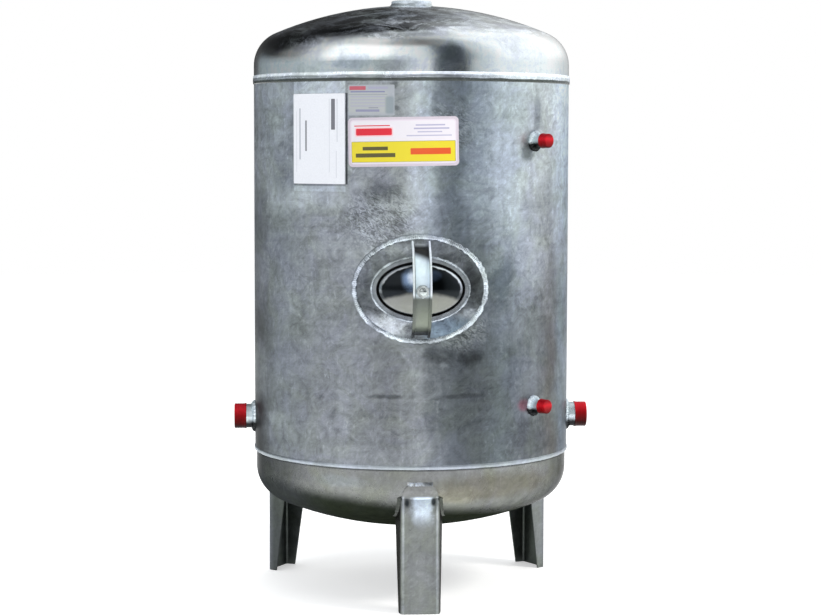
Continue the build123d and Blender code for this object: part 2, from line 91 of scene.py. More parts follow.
AMBIENT = (0.62, 0.65, 0.69, 1.0)
WHITE = (1.0, 1.0, 1.0, 1.0)
world = bpy.data.worlds.new("white_ground")
world.use_nodes = True
tree = world.node_tree
tree.links.new(
    blend(tree, seen_directly(tree), AMBIENT, WHITE), tree.nodes["Background"].inputs["Color"]
)
SCENE.world = world

FLOOR_RADIUS = 9.0
FLOOR_COLOUR = (0.8, 0.79, 0.77, 1.0)
FLOOR_LIFT = 0.5


def empty_material(name):
    """New material with only an output, as the material, its node tree and the output."""
    material = bpy.data.materials.new(name)
    material.use_nodes = True
    material.node_tree.nodes.clear()
    return material, material.node_tree, node(material.node_tree, "OutputMaterial")


def surface(name, grid, material, closed=(False, False)):
    """Smooth mesh from a grid of points, closed in either direction. Points that meet are merged."""
    index = np.arange(grid[..., 0].size).reshape(grid.shape[:2])
    index = np.concatenate([index, index[:closed[0]]], 0)
    index = np.concatenate([index, index[:, :closed[1]]], 1)
    corners = [index[:-1, :-1], index[1:, :-1], index[1:, 1:], index[:-1, 1:]]
    quads = np.stack(corners, -1).reshape(-1, 4)
    mesh = bpy.data.meshes.new(name)
    mesh.from_pydata(grid.reshape(-1, 3).tolist(), [], quads.tolist())
    cleaner = bmesh.new()
    cleaner.from_mesh(mesh)
    bmesh.ops.remove_doubles(cleaner, verts=cleaner.verts, dist=1e-7)
    bmesh.ops.recalc_face_normals(cleaner, faces=cleaner.faces)
    cleaner.to_mesh(mesh)
    cleaner.free()
    mesh.shade_smooth()
    mesh.materials.append(material)
    piece = bpy.data.objects.new(name, mesh)
    bpy.context.collection.objects.link(piece)
    return piece


def full_turn(count):
    """Angles of a full turn in equal steps."""
    return np.linspace(0, 2 * np.pi, count, endpoint=False)


def points(x, y, z):
    """Grid of points from coordinates that fit one another."""
    return np.stack(np.broadcast_arrays(x, y, z), -1)


# The floor is a disc: (r cos t, r sin t, 0).
turns = full_turn(96)[:, None]
rings = np.array([[1e-4, 0.5, 1.5, FLOOR_RADIUS]])
disc = points(rings * np.cos(turns), rings * np.sin(turns), 0.0)
floor_material, tree, output = empty_material("pale_floor")
pale = node(tree, "BsdfDiffuse", {"Color": FLOOR_COLOUR})
lift = node(tree, "Emission", {"Strength": times(tree, seen_directly(tree), FLOOR_LIFT)})
tree.links.new(node(tree, "AddShader", (pale.outputs[0], lift.outputs[0])).outputs[0], output.inputs[0])
floor = surface("floor", disc, floor_material, (True, False))

# THE MIRRORED SURROUNDINGS
# A dome that only metal mirrors. It has the sky, the dark trees and the light gaps between them that
# bright zinc shows outdoors, and the camera, the floor and dull pieces don't see it.
DOME_RADIUS = 8.5
TANK_MIDDLE = 0.55
# Each stop has the azimuth in degrees, the brightness and the coolness.
HORIZON_TONES = (
    (-180, 0.03, 0.3), (-156, 0.1, 0), (-140, 0.28, 0.8), (-110, 0.36, 0.8), (-70, 0.5, 0.5),
    (-40, 0.42, 0.4), (-12, 0.36, 0), (-5, 0.6, 0), (8, 0.66, 0), (16, 0.1, 0.8), (34, 0.06, 0.8),
    (44, 0.5, 0.5), (66, 0.8, 0.3), (105, 0.92, 0.2), (150, 0.6, 0.2), (180, 0.03, 0.3),
)
HEDGE_TONES = (
    (-180, 0.05, 0), (-125, 0.03, 0), (-99, 0.2, 0), (-79, 0.55, 0), (-62, 1.05, 0), (-25, 1.05, 0),
    (-11, 0.75, 0), (6, 0.62, 0.4), (18, 0.1, 0.8), (34, 0.1, 0.8), (50, 0.6, 0.5), (74, 1.0, 0.1),
    (140, 1.05, 0), (160, 0.75, 0), (180, 0.05, 0),
)
HIGH_TONES = (
    (-180, 0.02, 0), (-125, 0.04, 0), (-98, 0.25, 0), (-70, 0.6, 0), (-40, 0.66, 0), (-14, 0.3, 0),
    (8, 0.16, 0), (31, 0.24, 0.4), (52, 0.55, 0.4), (75, 0.95, 0.1), (130, 1.0, 0), (155, 0.75, 0),
    (180, 0.02, 0),
)
# Elevations between which one row of tones gives way to the next, in degrees.
HORIZON_TO_HEDGE = (5, 18)
HEDGE_TO_HIGH = (42, 56)
HIGH_TO_OVERHEAD = (64, 80)


def spread(tree, value, low, high, to_low=0.0, to_high=1.0, smooth=False):
    """Maps a value from one range to another and holds it there."""
    kind = "SMOOTHSTEP" if smooth else "LINEAR"
    feeds = (value, low, high, to_low, to_high)
    return node(tree, "MapRange", feeds, interpolation_type=kind).outputs[0]


def fade(tree, value, start, end, before, after, smooth=False):
    """One colour before a range of a value, another one after it, and a blend inside the range."""
    return blend(tree, spread(tree, value, start, end, smooth=smooth), before, after)


def grey(tone, cool=0.0):
    """Grey of a brightness, bluer where cool is above 0 and warmer where it is below."""
    return tone * (1 - 0.13 * cool), tone, tone * (1 + 0.08 * cool), 1.0


def azimuth_of(tree, place):
    """Angle round the tank of a place, in degrees from the front (-Y) towards +X."""
    turn = calc(tree, "ARCTAN2", place["X"], times(tree, place["Y"], -1.0))
    return times(tree, turn, 180 / math.pi)


def tones_round(tree, azimuth, stops):
    """Colours round the tank, from stops of azimuth in degrees, brightness and coolness."""
    ramp = node(tree, "ValToRGB", (spread(tree, azimuth, -180, 180),))
    ramp.color_ramp.interpolation = "EASE"
    while len(ramp.color_ramp.elements) < len(stops):
        ramp.color_ramp.elements.new(0.5)
    for element, (degrees, tone, cool) in zip(ramp.color_ramp.elements, stops):
        element.position = (degrees + 180) / 360
        element.color = grey(tone, cool)
    return ramp.outputs["Color"]


def vector_calc(tree, operation, *values):
    """One sum on vectors or colours."""
    return node(tree, "VectorMath", values, operation=operation).outputs[0]


# The dome is R (sin a cos e, -cos a cos e, sin e), for the azimuth a and the elevation e.
lifts = np.radians([[-1.0, 6, 14, 24, 36, 48, 60, 72, 82, 89.99]])
level = np.cos(lifts)
dome = DOME_RADIUS * points(np.sin(turns) * level, -np.cos(turns) * level, np.sin(lifts))
dome_material, tree, output = empty_material("mirrored_dome")
where = node(tree, "TexCoord").outputs["Object"]
heading = vector_calc(tree, "NORMALIZE", vector_calc(tree, "SUBTRACT", where, (0.0, 0.0, TANK_MIDDLE)))
place = node(tree, "SeparateXYZ", (heading,)).outputs
rise = times(tree, calc(tree, "ARCSINE", place["Z"]), 180 / math.pi)
round_tank = azimuth_of(tree, place)
tone, hedge, high = [tones_round(tree, round_tank, t) for t in (HORIZON_TONES, HEDGE_TONES, HIGH_TONES)]
overhead = fade(tree, place["X"], -0.3, 0.25, grey(0.1), grey(0.55), smooth=True)
for reach, above in ((HORIZON_TO_HEDGE, hedge), (HEDGE_TO_HIGH, high), (HIGH_TO_OVERHEAD, overhead)):
    tone = fade(tree, rise, *reach, tone, above, smooth=True)
tree.links.new(node(tree, "Emission", {"Color": tone}).outputs[0], output.inputs[0])
mirrored_dome = surface("mirrored_dome", dome, dome_material, (True, False))
for kind in ("camera", "diffuse", "transmission", "volume_scatter", "shadow"):
    setattr(mirrored_dome, "visible_" + kind, False)

# THE LAMPS
# Four soft square lamps: the key from the right, a wide one from the left, one from behind and one
# from overhead. Metal doesn't mirror them, because the dome gives it all that it shows.


def stand_at(azimuth, distance, height):
    """Place at an azimuth and a level distance from the tank's axis."""
    return distance * math.sin(azimuth), -distance * math.cos(azimuth), height


def soft_lamp(name, azimuth, elevation, distance, width, power, colour):
    """Square area lamp that faces the middle of the tank."""
    light = bpy.data.lights.new(name, "AREA")
    light.size, light.energy, light.color = width, power, colour
    a, e = math.radians(azimuth), math.radians(elevation)
    lamp = bpy.data.objects.new(name, light)
    lamp.location = stand_at(a, distance * math.cos(e), distance * math.sin(e) + TANK_MIDDLE)
    lamp.rotation_euler = (math.pi / 2 - e, 0, a)
    lamp.visible_glossy = False
    bpy.context.collection.objects.link(lamp)


soft_lamp("key_lamp", 62, 38, 3.6, 0.9, 75, (1.0, 0.99, 0.97))
soft_lamp("fill_lamp", -48, 25, 3.8, 2.4, 30, (0.96, 0.98, 1.0))
soft_lamp("back_lamp", 170, 40, 3.8, 2.4, 30, (0.98, 0.99, 1.0))
soft_lamp("overhead_lamp", -25, 75, 3.0, 2.0, 26, (1.0, 1.0, 1.0))

# THE CAMERA
# It stands where the photograph was taken from: in front, a little to the left and over half the
# tank's height, and looks slightly down.
CAMERA_LENS = 92.205
CAMERA_AZIMUTH = math.radians(-3.33)
CAMERA_DISTANCE = 3.701
CAMERA_HEIGHT = 0.7757
CAMERA_PITCH = math.radians(4.46)
CAMERA_ROLL = math.radians(-0.09)
CAMERA_YAW = math.radians(0.02)
camera = bpy.data.objects.new("camera", bpy.data.cameras.new("camera"))
camera.data.sensor_width = 36.0
camera.data.lens = CAMERA_LENS
camera.location = stand_at(CAMERA_AZIMUTH, CAMERA_DISTANCE, CAMERA_HEIGHT)
camera.rotation_euler = (math.pi / 2 - CAMERA_PITCH, CAMERA_ROLL, CAMERA_AZIMUTH + CAMERA_YAW)
bpy.context.collection.objects.link(camera)
SCENE.camera = camera

# THE SHELL AND THE PAD
# Sheet steel, rolled and hot-dip galvanised. The zinc is mottled and feathery, with upright light
# and dark bands, soft bands across where it drained, and dull clouds. The pad is cut from the same.
# Painted reflections and painted shade lie over the zinc, in upright bands and soft spots.
SHELL_RADIUS = 0.275
SHELL_BOTTOM = 0.244
SHELL_TOP = 0.884
HANDHOLE_HEIGHT = 0.539
DARKEST_TONE = 0.25


def group(name, inputs, outputs):
    """New shader node group with named sockets, as the group, what it is given and what it puts out.

    inputs has the usual value of each number, and None for a place. outputs has the sockets' kinds.
    """
    made = bpy.data.node_groups.new(name, "ShaderNodeTree")
    for socket, value in inputs.items():
        kind = "NodeSocketVector" if value is None else "NodeSocketFloat"
        entry = made.interface.new_socket(socket, in_out="INPUT", socket_type=kind)
        if value is not None:
            entry.default_value = value
    for socket, kind in outputs.items():
        made.interface.new_socket(socket, in_out="OUTPUT", socket_type="NodeSocket" + kind)
    return made, made.nodes.new("NodeGroupInput").outputs, made.nodes.new("NodeGroupOutput").inputs


def use(tree, made, feeds):
    """Places a node group in a tree and feeds it."""
    return node(tree, "Group", feeds, node_tree=made).outputs


def noise(tree, where, scale, detail=3.0, roughness=0.55, distortion=0.0, stretch=None, turn=None):
    """Noise value, finer along some axes where a stretch is given, and turned about Y."""
    if turn:
        feeds = {"Vector": where, "Angle": math.radians(turn)}
        where = node(tree, "VectorRotate", feeds, rotation_type="Y_AXIS").outputs[0]
    if stretch:
        where = vector_calc(tree, "MULTIPLY", where, stretch)
    feeds = dict(Vector=where, Scale=scale, Detail=detail, Roughness=roughness, Distortion=distortion)
    return node(tree, "TexNoise", feeds).outputs[0]


def off_middle(tree, value, *strengths):
    """A noise value about 0 in place of 0.5, times its strengths."""
    return times(tree, calc(tree, "SUBTRACT", value, 0.5), *strengths)


def wavered(tree, value, amount, where, *grain):
    """A value that wavers with a noise by an amount."""
    return calc(tree, "ADD", value, off_middle(tree, noise(tree, where, *grain), amount))


def length(tree, *offs):
    """Distance made of two offsets at right angles."""
    return calc(tree, "SQRT", calc(tree, "ADD", *[times(tree, off, off) for off in offs]))


def oval_reach(tree, place, across, height, half_width, half_height):
    """Distance from an oval's middle, as a share of the oval's reach that way."""
    off = [
        calc(tree, "DIVIDE", calc(tree, "SUBTRACT", place[axis], middle), half)
        for axis, middle, half in (("X", across, half_width), ("Z", height, half_height))
    ]
    return length(tree, *off)


zinc_coat, given, result = group(
    "zinc_coat",
    dict(Place=None, Clouds=0.5, Bands=0.5, Drips=0.5, Mottle=0.5, Smoothest=0.3, Roughest=0.5),
    dict(Tone="Float", Tint="Color", Roughness="Float", Height="Float"),
)
tree, where = zinc_coat, given["Place"]
clouds = noise(tree, where, 6.0, 5.0, 0.62, 0.5)
bands = noise(tree, where, 1.0, 4.0, 0.65, 0.2, (2.2, 2.2, 26.0))
drips = noise(tree, where, 1.0, 4.0, 0.6, 0.6, (34.0, 34.0, 2.4))
fine = noise(tree, where, 120.0, 3.0, 0.65, 0.8)
patches = noise(tree, where, 30.0, 6.0, 0.72, 1.8)
sweeps = noise(tree, where, 1.0, 4.0, 0.7, 1.0, (12.0, 12.0, 110.0))
runs = noise(tree, where, 1.0, 4.0, 0.7, 1.0, (110.0, 110.0, 24.0))
scuffs = noise(tree, where, 1.0, 3.0, 0.7, 1.0, (40.0, 40.0, 190.0), turn=38)
bend = node(tree, "TexNoise", {"Vector": where, "Scale": 26.0, "Detail": 2.0}).outputs["Color"]
bent = vector_calc(tree, "MULTIPLY_ADD", bend, (0.035, 0.035, 0.035), where)
feathers = node(tree, "TexVoronoi", {"Vector": bent, "Scale": 95.0}, distance="MINKOWSKI")
feather = node(tree, "SeparateColor", (feathers.outputs["Color"],)).outputs[0]
grain = off_middle(tree, feather, 0.12)
for part, strength in ((fine, 0.8), (patches, 2.4), (sweeps, 0.6), (runs, 0.35), (scuffs, 0.8)):
    grain = calc(tree, "ADD", grain, off_middle(tree, part, strength))
flecks = spread(tree, times(tree, fine, runs), 0.32, 0.42, 0.0, 0.45)
tone = times(tree, calc(tree, "ADD", grain, flecks), given["Mottle"])
for mask, strength in ((clouds, "Clouds"), (bands, "Bands"), (drips, "Drips")):
    tone = calc(tree, "ADD", tone, off_middle(tree, mask, given[strength], 2.0))
tone = calc(tree, "ADD", tone, 1.0)
bloom = noise(tree, where, 13.0, 4.0, 0.6, 1.0)
patchy = calc(tree, "ADD", clouds, times(tree, fine, 0.5))
for socket, value in (
    ("Tone", calc(tree, "MAXIMUM", tone, DARKEST_TONE)),
    ("Tint", fade(tree, bloom, 0.36, 0.62, (0.915, 1.0, 1.0, 1.0), (0.92, 0.985, 1.11, 1.0))),
    ("Roughness", spread(tree, patchy, 0.5, 1.0, given["Smoothest"], given["Roughest"])),
    ("Height", calc(tree, "ADD", fine, times(tree, clouds, 0.6))),
):
    tree.links.new(value, result[socket])

spot_mask, given, result = group(
    "spot_mask",
    {"Place": None, "Across": 0.0, "Height": 0.5, "Half Width": 0.1, "Half Height": 0.1, "Ragged": 0.5},
    {"Share": "Float"},
)
tree, where = spot_mask, given["Place"]
place = node(tree, "SeparateXYZ", (where,)).outputs
away = oval_reach(tree, place, *[given[name] for name in ("Across", "Height", "Half Width", "Half Height")])
rag = off_middle(tree, noise(tree, where, 22.0, 6.0, 0.7, 0.5), given["Ragged"], 2.0)
share = spread(tree, calc(tree, "ADD", away, rag), 1.0, 0.3, smooth=True)
front_only = spread(tree, place["Y"], 0.02, -0.02)
tree.links.new(times(tree, share, front_only), result["Share"])

box_mask, given, result = group(
    "box_mask",
    {"Across": 0.0, "Up": 0.0, "Middle Across": 0.0, "Middle Up": 0.0}
    | {"Half Width": 0.01, "Half Height": 0.01, "Corner": 0.0005, "Soft": 0.0002},
    {"Share": "Float"},
)
tree = box_mask
past = []
for here, middle, half in (("Across", "Middle Across", "Half Width"), ("Up", "Middle Up", "Half Height")):
    reach = calc(tree, "ABSOLUTE", calc(tree, "SUBTRACT", given[here], given[middle]))
    flat = calc(tree, "SUBTRACT", given[half], given["Corner"])
    past.append(calc(tree, "MAXIMUM", calc(tree, "SUBTRACT", reach, flat), 0.0))
outside = calc(tree, "SUBTRACT", length(tree, *past), given["Corner"])
tree.links.new(spread(tree, outside, 0.0, given["Soft"], 1.0, 0.0), result["Share"])


def laid_on(tree, colour, mask, fixed, rows):
    """Lays soft shapes over a colour.

    fixed feeds the first inputs of a mask group. Each row feeds the rest, then has a colour and a share.
    """
    for *shape, tint, strength in rows:
        share = times(tree, use(tree, mask, (*fixed, *shape))[0], strength)
        colour = blend(tree, share, colour, tint)
    return colour


def zinc_material(name, paint, coat, gloss, bump, metal=0.85, matt=None, edge=1.0, specular=0.5):
    """Galvanised steel. paint gives the colour by place; coat is clouds, bands, drips and mottle.

    matt gives by place the share that is bare metal, and the rest is dull: it lets the painted shade
    under the bottom head and the painted highlight on the top seam show, and dulls patches on the top
    head's crown. edge is the brightness of what the metal mirrors at a glancing angle, and specular is
    the gloss of the dull parts.
    """
    material, tree, output = empty_material(name)
    where = node(tree, "TexCoord").outputs["Object"]
    place = node(tree, "SeparateXYZ", (where,)).outputs
    zinc = use(tree, zinc_coat, (where, *coat, *gloss))
    colour = vector_calc(tree, "MULTIPLY", paint(tree, where, place), zinc["Tint"])
    colour = node(tree, "VectorMath", {0: colour, "Scale": zinc["Tone"]}, operation="SCALE").outputs[0]
    raised = node(tree, "Bump", {"Height": zinc["Height"], "Strength": bump[0], "Distance": bump[1]})
    feeds = {
        "Base Color": colour,
        "Metallic": times(tree, matt(tree, where, place), metal) if matt else metal,
        "Specular IOR Level": specular,
        "Specular Tint": grey(edge),
        "Roughness": zinc["Roughness"],
        "Normal": raised.outputs[0],
    }
    tree.links.new(node(tree, "BsdfPrincipled", feeds).outputs[0], output.inputs[0])
    return material


def dress(material, *names):
    """Gives CAD nodes a material."""
    for name in names:
        for slot in nodes[name].material_slots:
            slot.material = material


# Painted reflections and shade of the upper and the lower part, round the shell: azimuth in degrees,
# brightness and coolness.
UPPER_PAINTED_REFLECTIONS = (
    (-180, 0.3, 0.2), (-110, 0.3, 0.2), (-78, 0.66, 0.0), (-57, 0.38, 0.2), (-30, 0.44, 0.0),
    (-8, 0.42, 0.0), (-1, 0.62, 0.2), (3, 0.52, 0.4), (8, 0.26, 0.6), (13, 0.22, 0.8), (19, 0.38, 0.6),
    (30, 0.54, 0.4), (52, 0.6, 0.0), (72, 0.85, 0.6), (180, 0.3, 0.2),
)
LOWER_PAINTED_REFLECTIONS = (
    (-180, 0.22, 0.0), (-110, 0.16, 0.0), (-76, 0.09, 0.0), (-58, 0.29, 0.2), (-30, 0.28, 0.0),
    (-8, 0.24, 0.0), (-1, 0.3, 0.0), (5, 0.19, 0.2), (12, 0.118, 0.4), (20, 0.108, 0.4),
    (30, 0.15, 0.6), (46, 0.2, 0.2), (56, 0.15, -0.6), (68, 0.26, 0.8), (180, 0.22, 0.0),
)
# Soft spots of lighter and darker zinc and of painted reflections and shade, among them the upper
# gauge nipple's painted shadow and a painted reflection of the lower gauge cap. Each spot has its
# place across and up, half width, half height, raggedness, colour and share.
SHELL_PAINTED_LIGHT_SPOTS = (
    (-0.064, 0.696, 0.043, 0.034, 0.8, grey(0.1, 0.4), 0.8),
    (-0.075, 0.56, 0.04, 0.03, 0.9, grey(0.16, 0.2), 0.35),
    (0.095, 0.6, 0.06, 0.04, 0.8, grey(0.16, 0.6), 0.45),
    (-0.055, 0.362, 0.05, 0.006, 0.9, grey(0.08, 0.2), 0.7),
    (0.075, 0.362, 0.05, 0.006, 0.9, grey(0.06, 0.3), 0.7),
    (0.03, 0.432, 0.06, 0.016, 0.9, grey(0.06, 0.5), 0.6),
    (0.08, 0.428, 0.04, 0.022, 0.7, grey(0.045, 0.4), 0.8),
    (-0.24, 0.31, 0.03, 0.018, 1.2, grey(0.42, 0.2), 0.45),
    (0.185, 0.28, 0.05, 0.055, 0.9, grey(0.08, 0.2), 0.6),
    # Painted reflection of the lower gauge cap.
    (0.179, 0.339, 0.015, 0.014, 0.5, (0.46, 0.17, 0.21, 1.0), 0.5),
    (-0.04, 0.834, 0.01, 0.007, 0.8, grey(0.13, 0.5), 0.6),
    (-0.042, 0.872, 0.01, 0.009, 0.8, grey(0.13, 0.5), 0.6),
    (0.2, 0.83, 0.01, 0.045, 0.8, grey(0.22, 0.4), 0.6),
    (0.215, 0.68, 0.07, 0.06, 1.2, grey(0.22, 0.0), 0.35),
    (0.138, 0.55, 0.03, 0.06, 1.1, grey(0.085, 1.6), 0.6),
    # Painted shadow of the upper gauge nipple.
    (0.181, 0.765, 0.018, 0.024, 0.6, grey(0.09, 0.5), 0.75),
    (-0.01, 0.4, 0.016, 0.012, 0.9, grey(0.42, 0.1), 0.4),
    (-0.13, 0.47, 0.05, 0.04, 0.9, grey(0.34, 0.1), 0.35),
    (-0.236, 0.85, 0.046, 0.13, 0.5, grey(0.66, 0.1), 0.65),
    (-0.19, 0.682, 0.09, 0.026, 0.6, grey(0.62, 0.1), 0.5),
    (-0.205, 0.53, 0.06, 0.06, 0.9, grey(0.42, 0.1), 0.45),
    (0.085, 0.462, 0.055, 0.018, 0.8, grey(0.08, 0.3), 0.5),
    (-0.266, 0.65, 0.026, 0.11, 0.5, grey(0.16, 0.2), 0.6),
    (-0.266, 0.39, 0.026, 0.07, 0.5, grey(0.34, 0.1), 0.6),
    (0.25, 0.845, 0.04, 0.06, 0.6, grey(0.95, 0.2), 0.5),
    (0.264, 0.59, 0.03, 0.05, 0.6, grey(0.52, 0.2), 0.6),
    (0.264, 0.39, 0.03, 0.08, 0.6, grey(0.4, 0.4), 0.6),
)
# The first two boxes are the booklet's painted shadow, beside it and under it, and the last two its
# film's pale edges. Each box has its place along and up, half width, half height, corner, softness,
# colour and share.
SHELL_BOXES_AND_PAINTED_SHADOW = (
    (-0.1245, 0.784, 0.0012, 0.074, 0.0003, 0.0012, grey(0.03, 0.8), 0.85),
    (-0.179, 0.708, 0.052, 0.0018, 0.0005, 0.002, grey(0.1, 0.3), 0.3),
    (-0.1795, 0.869, 0.0525, 0.01, 0.0005, 0.001, grey(0.85, 0.2), 0.7),
    (-0.1795, 0.702, 0.0525, 0.004, 0.0005, 0.001, grey(0.66, 0.2), 0.7),
)
# Where the zinc was swept in streaks: as a spot, without its colour.
SWEPT = (
    (-0.07, 0.648, 0.085, 0.068, 0.6, 0.58),
    (0.065, 0.47, 0.06, 0.05, 0.6, 0.35),
    (0.05, 0.8, 0.06, 0.06, 0.6, 0.3),
)


def along_shell(tree, azimuth):
    """Length round the shell from its front to an azimuth."""
    return times(tree, azimuth, SHELL_RADIUS * math.pi / 180)


def shell_paint(tree, where, place):
    """Painted reflections in upright bands above and below, soft spots, the booklet's painted shadow, film
    edges.
    """
    azimuth = azimuth_of(tree, place)
    wavering = wavered(tree, azimuth, 16.0, where, 9.0, 5.0, 0.65)
    ragged = wavered(tree, place["Z"], 0.22, where, 7.0, 5.0, 0.7)
    upper, lower = [tones_round(tree, wavering, tones) for tones in (UPPER_PAINTED_REFLECTIONS, LOWER_PAINTED_REFLECTIONS)]
    colour = fade(tree, ragged, 0.4, 0.76, lower, upper, smooth=True)
    left_only = spread(tree, azimuth, -24.0, -60.0, smooth=True)
    left_only = times(tree, left_only, spread(tree, azimuth, -125.0, -90.0))
    step_tone = fade(tree, place["Z"], 0.652, 0.66, grey(0.82), grey(1.0))
    step_tone = blend(tree, left_only, grey(1.0), step_tone)
    colour = vector_calc(tree, "MULTIPLY", colour, step_tone)
    colour = laid_on(tree, colour, spot_mask, (where,), SHELL_PAINTED_LIGHT_SPOTS)
    swept = noise(tree, where, 1.0, 4.0, 0.75, 1.6, (80.0, 80.0, 170.0), turn=-32)
    swept = fade(tree, swept, 0.43, 0.58, grey(0.07, 0.2), grey(0.62, 0.1))
    colour = laid_on(tree, colour, spot_mask, (where,), [(*shape, swept, share) for *shape, share in SWEPT])
    return laid_on(tree, colour, box_mask, (along_shell(tree, azimuth), place["Z"]), SHELL_BOXES_AND_PAINTED_SHADOW)


shell_zinc = zinc_material(
    "zinc_on_shell", shell_paint, (0.45, 0.3, 0.25, 0.58), (0.3, 0.46), (0.3, 0.0006), edge=0.4
)
dress(shell_zinc, "shell")

# Painted reflections and shade on the pad: light, bluish and dark parts.
PAD_PAINTED_LIGHT_SPOTS = (
    (-0.06, 0.48, 0.06, 0.028, 0.25, grey(0.74, 0.0), 0.9),
    (0.045, 0.474, 0.06, 0.03, 0.4, (0.24, 0.3, 0.36, 1.0), 0.85),
    (0.082, 0.5, 0.02, 0.012, 0.6, grey(0.6, 0.2), 0.7),
    (0.08, 0.556, 0.032, 0.04, 0.35, grey(0.055, 0.3), 0.9),
    (0.045, 0.59, 0.04, 0.012, 0.5, grey(0.1, 0.3), 0.7),
    (-0.088, 0.536, 0.022, 0.034, 0.4, grey(0.11, 0.2), 0.75),
    (-0.04, 0.606, 0.045, 0.014, 0.5, grey(0.42, 0.1), 0.7),
    (0.09, 0.53, 0.024, 0.032, 0.3, grey(0.05, 0.3), 0.8),
)


def pad_paint(tree, where, place):
    """Mid grey with painted reflections and shade in light and dark parts."""
    return laid_on(tree, grey(0.2, 0.2), spot_mask, (where,), PAD_PAINTED_LIGHT_SPOTS)


pad_zinc = zinc_material("zinc_on_pad", pad_paint, (0.5, 0.4, 0.2, 0.9), (0.24, 0.4), (0.3, 0.0006))
dress(pad_zinc, "handhole_pad")

# THE HEADS
# Pressed steel dishes, galvanised like the shell, but smoother, so they mirror more. The top one has
# painted reflections laid on it. The bottom one is duller, with painted shade on its underside and
# left side and a painted shadow under its seam.
# Painted reflections, light and dark, laid on the top head as spots.
TOP_PAINTED_REFLECTIONS = (
    (-0.13, 0.975, 0.11, 0.03, 0.5, grey(0.3, 0.2), 0.8),
    (0.0, 0.992, 0.13, 0.016, 1.0, grey(0.3, 0.6), 0.7),
    (-0.23, 0.945, 0.04, 0.02, 0.4, grey(0.25, 0.2), 0.7),
    (0.05, 0.925, 0.03, 0.026, 0.5, grey(0.38, 0.5), 0.7),
    (0.01, 0.958, 0.06, 0.01, 0.7, grey(0.42, 0.3), 0.5),
    (-0.06, 0.908, 0.11, 0.014, 1.8, grey(0.62, 0.8), 0.5),
    (-0.115, 0.964, 0.125, 0.01, 0.4, grey(0.2, 0.2), 0.9),
    (-0.205, 0.95, 0.055, 0.024, 0.35, grey(0.14, 0.2), 0.85),
    (0.065, 0.978, 0.07, 0.012, 0.7, grey(0.62, 0.2), 0.6),
    (-0.06, 0.996, 0.07, 0.012, 0.7, grey(0.4, 0.4), 0.5),
)
TEETH_ROWS = ((-0.188, 0.944, 0.05, 0.013, 0.5), (-0.06, 0.951, 0.06, 0.008, 0.5))


def top_paint(tree, where, place):
    """Bright zinc, darker towards the crown, with painted reflections laid on it."""
    colour = fade(tree, place["Z"], 0.955, 0.985, grey(0.98), grey(0.8), smooth=True)
    return laid_on(tree, colour, spot_mask, (where,), TOP_PAINTED_REFLECTIONS)


def top_bare(tree, where, place):
    """Mostly bare, with dull streaky patches on the crown's front and a ragged row above the bend."""
    streaks = noise(tree, where, 1.0, 5.0, 0.72, 1.2, (16.0, 16.0, 60.0))
    crown = spread(tree, place["Z"], 0.95, 0.962, smooth=True)
    inward = spread(tree, place["X"], -0.16, -0.02, 0.25, 1.0, smooth=True)
    dull = times(tree, spread(tree, streaks, 0.44, 0.62, 0.0, 0.42), crown, inward)
    teeth = spread(tree, noise(tree, where, 90.0, 5.0, 0.8, 0.5), 0.4, 0.62, 0.0, 0.3)
    for row in TEETH_ROWS:
        dull = calc(tree, "MAXIMUM", dull, times(tree, use(tree, spot_mask, (where, *row))[0], teeth))
    return calc(tree, "SUBTRACT", 1.0, dull)


top_zinc = zinc_material(
    "zinc_on_top_head", top_paint, (0.35, 0.15, 0.2, 0.26), (0.08, 0.2), (0.15, 0.0004),
    metal=1.0, matt=top_bare, specular=0.25,
)
dress(top_zinc, "top_head")

UNDER_SPOTS = (
    (0.06, 0.196, 0.06, 0.02, 0.4, (0.36, 0.32, 0.24, 1.0), 0.5),
    (-0.13, 0.218, 0.06, 0.014, 0.5, grey(0.3, 0.3), 0.4),
    (0.13, 0.208, 0.16, 0.03, 0.6, (0.15, 0.134, 0.103, 1.0), 0.8),
)


def above_shade(tree, where, place):
    """0 on the shaded underside and 1 above it, with a wavering edge that falls to the right."""
    height = calc(tree, "ADD", place["Z"], times(tree, place["X"], 0.11))
    height = wavered(tree, height, 0.012, where, 9.0, 4.0)
    return spread(tree, height, 0.163, 0.19, smooth=True)


def bottom_paint(tree, where, place):
    """Beige-grey above, greenish dark painted shade underneath, painted shade on the left and under the
    seam.
    """
    lit = above_shade(tree, where, place)
    colour = blend(tree, lit, (0.03, 0.034, 0.022, 1.0), (0.228, 0.22, 0.197, 1.0))
    colour = laid_on(tree, colour, spot_mask, (where,), UNDER_SPOTS)
    azimuth = azimuth_of(tree, place)
    # Painted shade on the left side.
    painted_shade_left = spread(tree, azimuth, -34.0, -58.0, to_high=0.75, smooth=True)
    painted_shade_left = times(tree, painted_shade_left, spread(tree, azimuth, -130.0, -95.0))
    colour = blend(tree, painted_shade_left, colour, grey(0.07))
    # Painted shadow under the seam's bead.
    painted_shadow_under_seam = spread(tree, place["Z"], 0.237, 0.2395, to_high=0.8)
    return blend(tree, painted_shadow_under_seam, colour, grey(0.05))


# Its underside is dull, so that its painted shade shows dark.
bottom_zinc = zinc_material(
    "zinc_on_bottom_head", bottom_paint, (0.25, 0.15, 0.25, 0.35), (0.22, 0.34), (0.15, 0.0004),
    metal=1.0, matt=above_shade, edge=0.35, specular=0.0,
)
dress(bottom_zinc, "bottom_head")

# THE WELDS
# Beads laid along the seams and dipped with the tank, so the zinc lies thick and bright on their
# ripples. Those of the pad, the neck, the bottom seam and the nipples are made here as real ripples,
# and the others keep their plain shape.
RIPPLE_DEPTH = 0.3
BURIED = 0.15
FOOT_WIDTH = 0.6
FILLET_CORNER = 0.0006


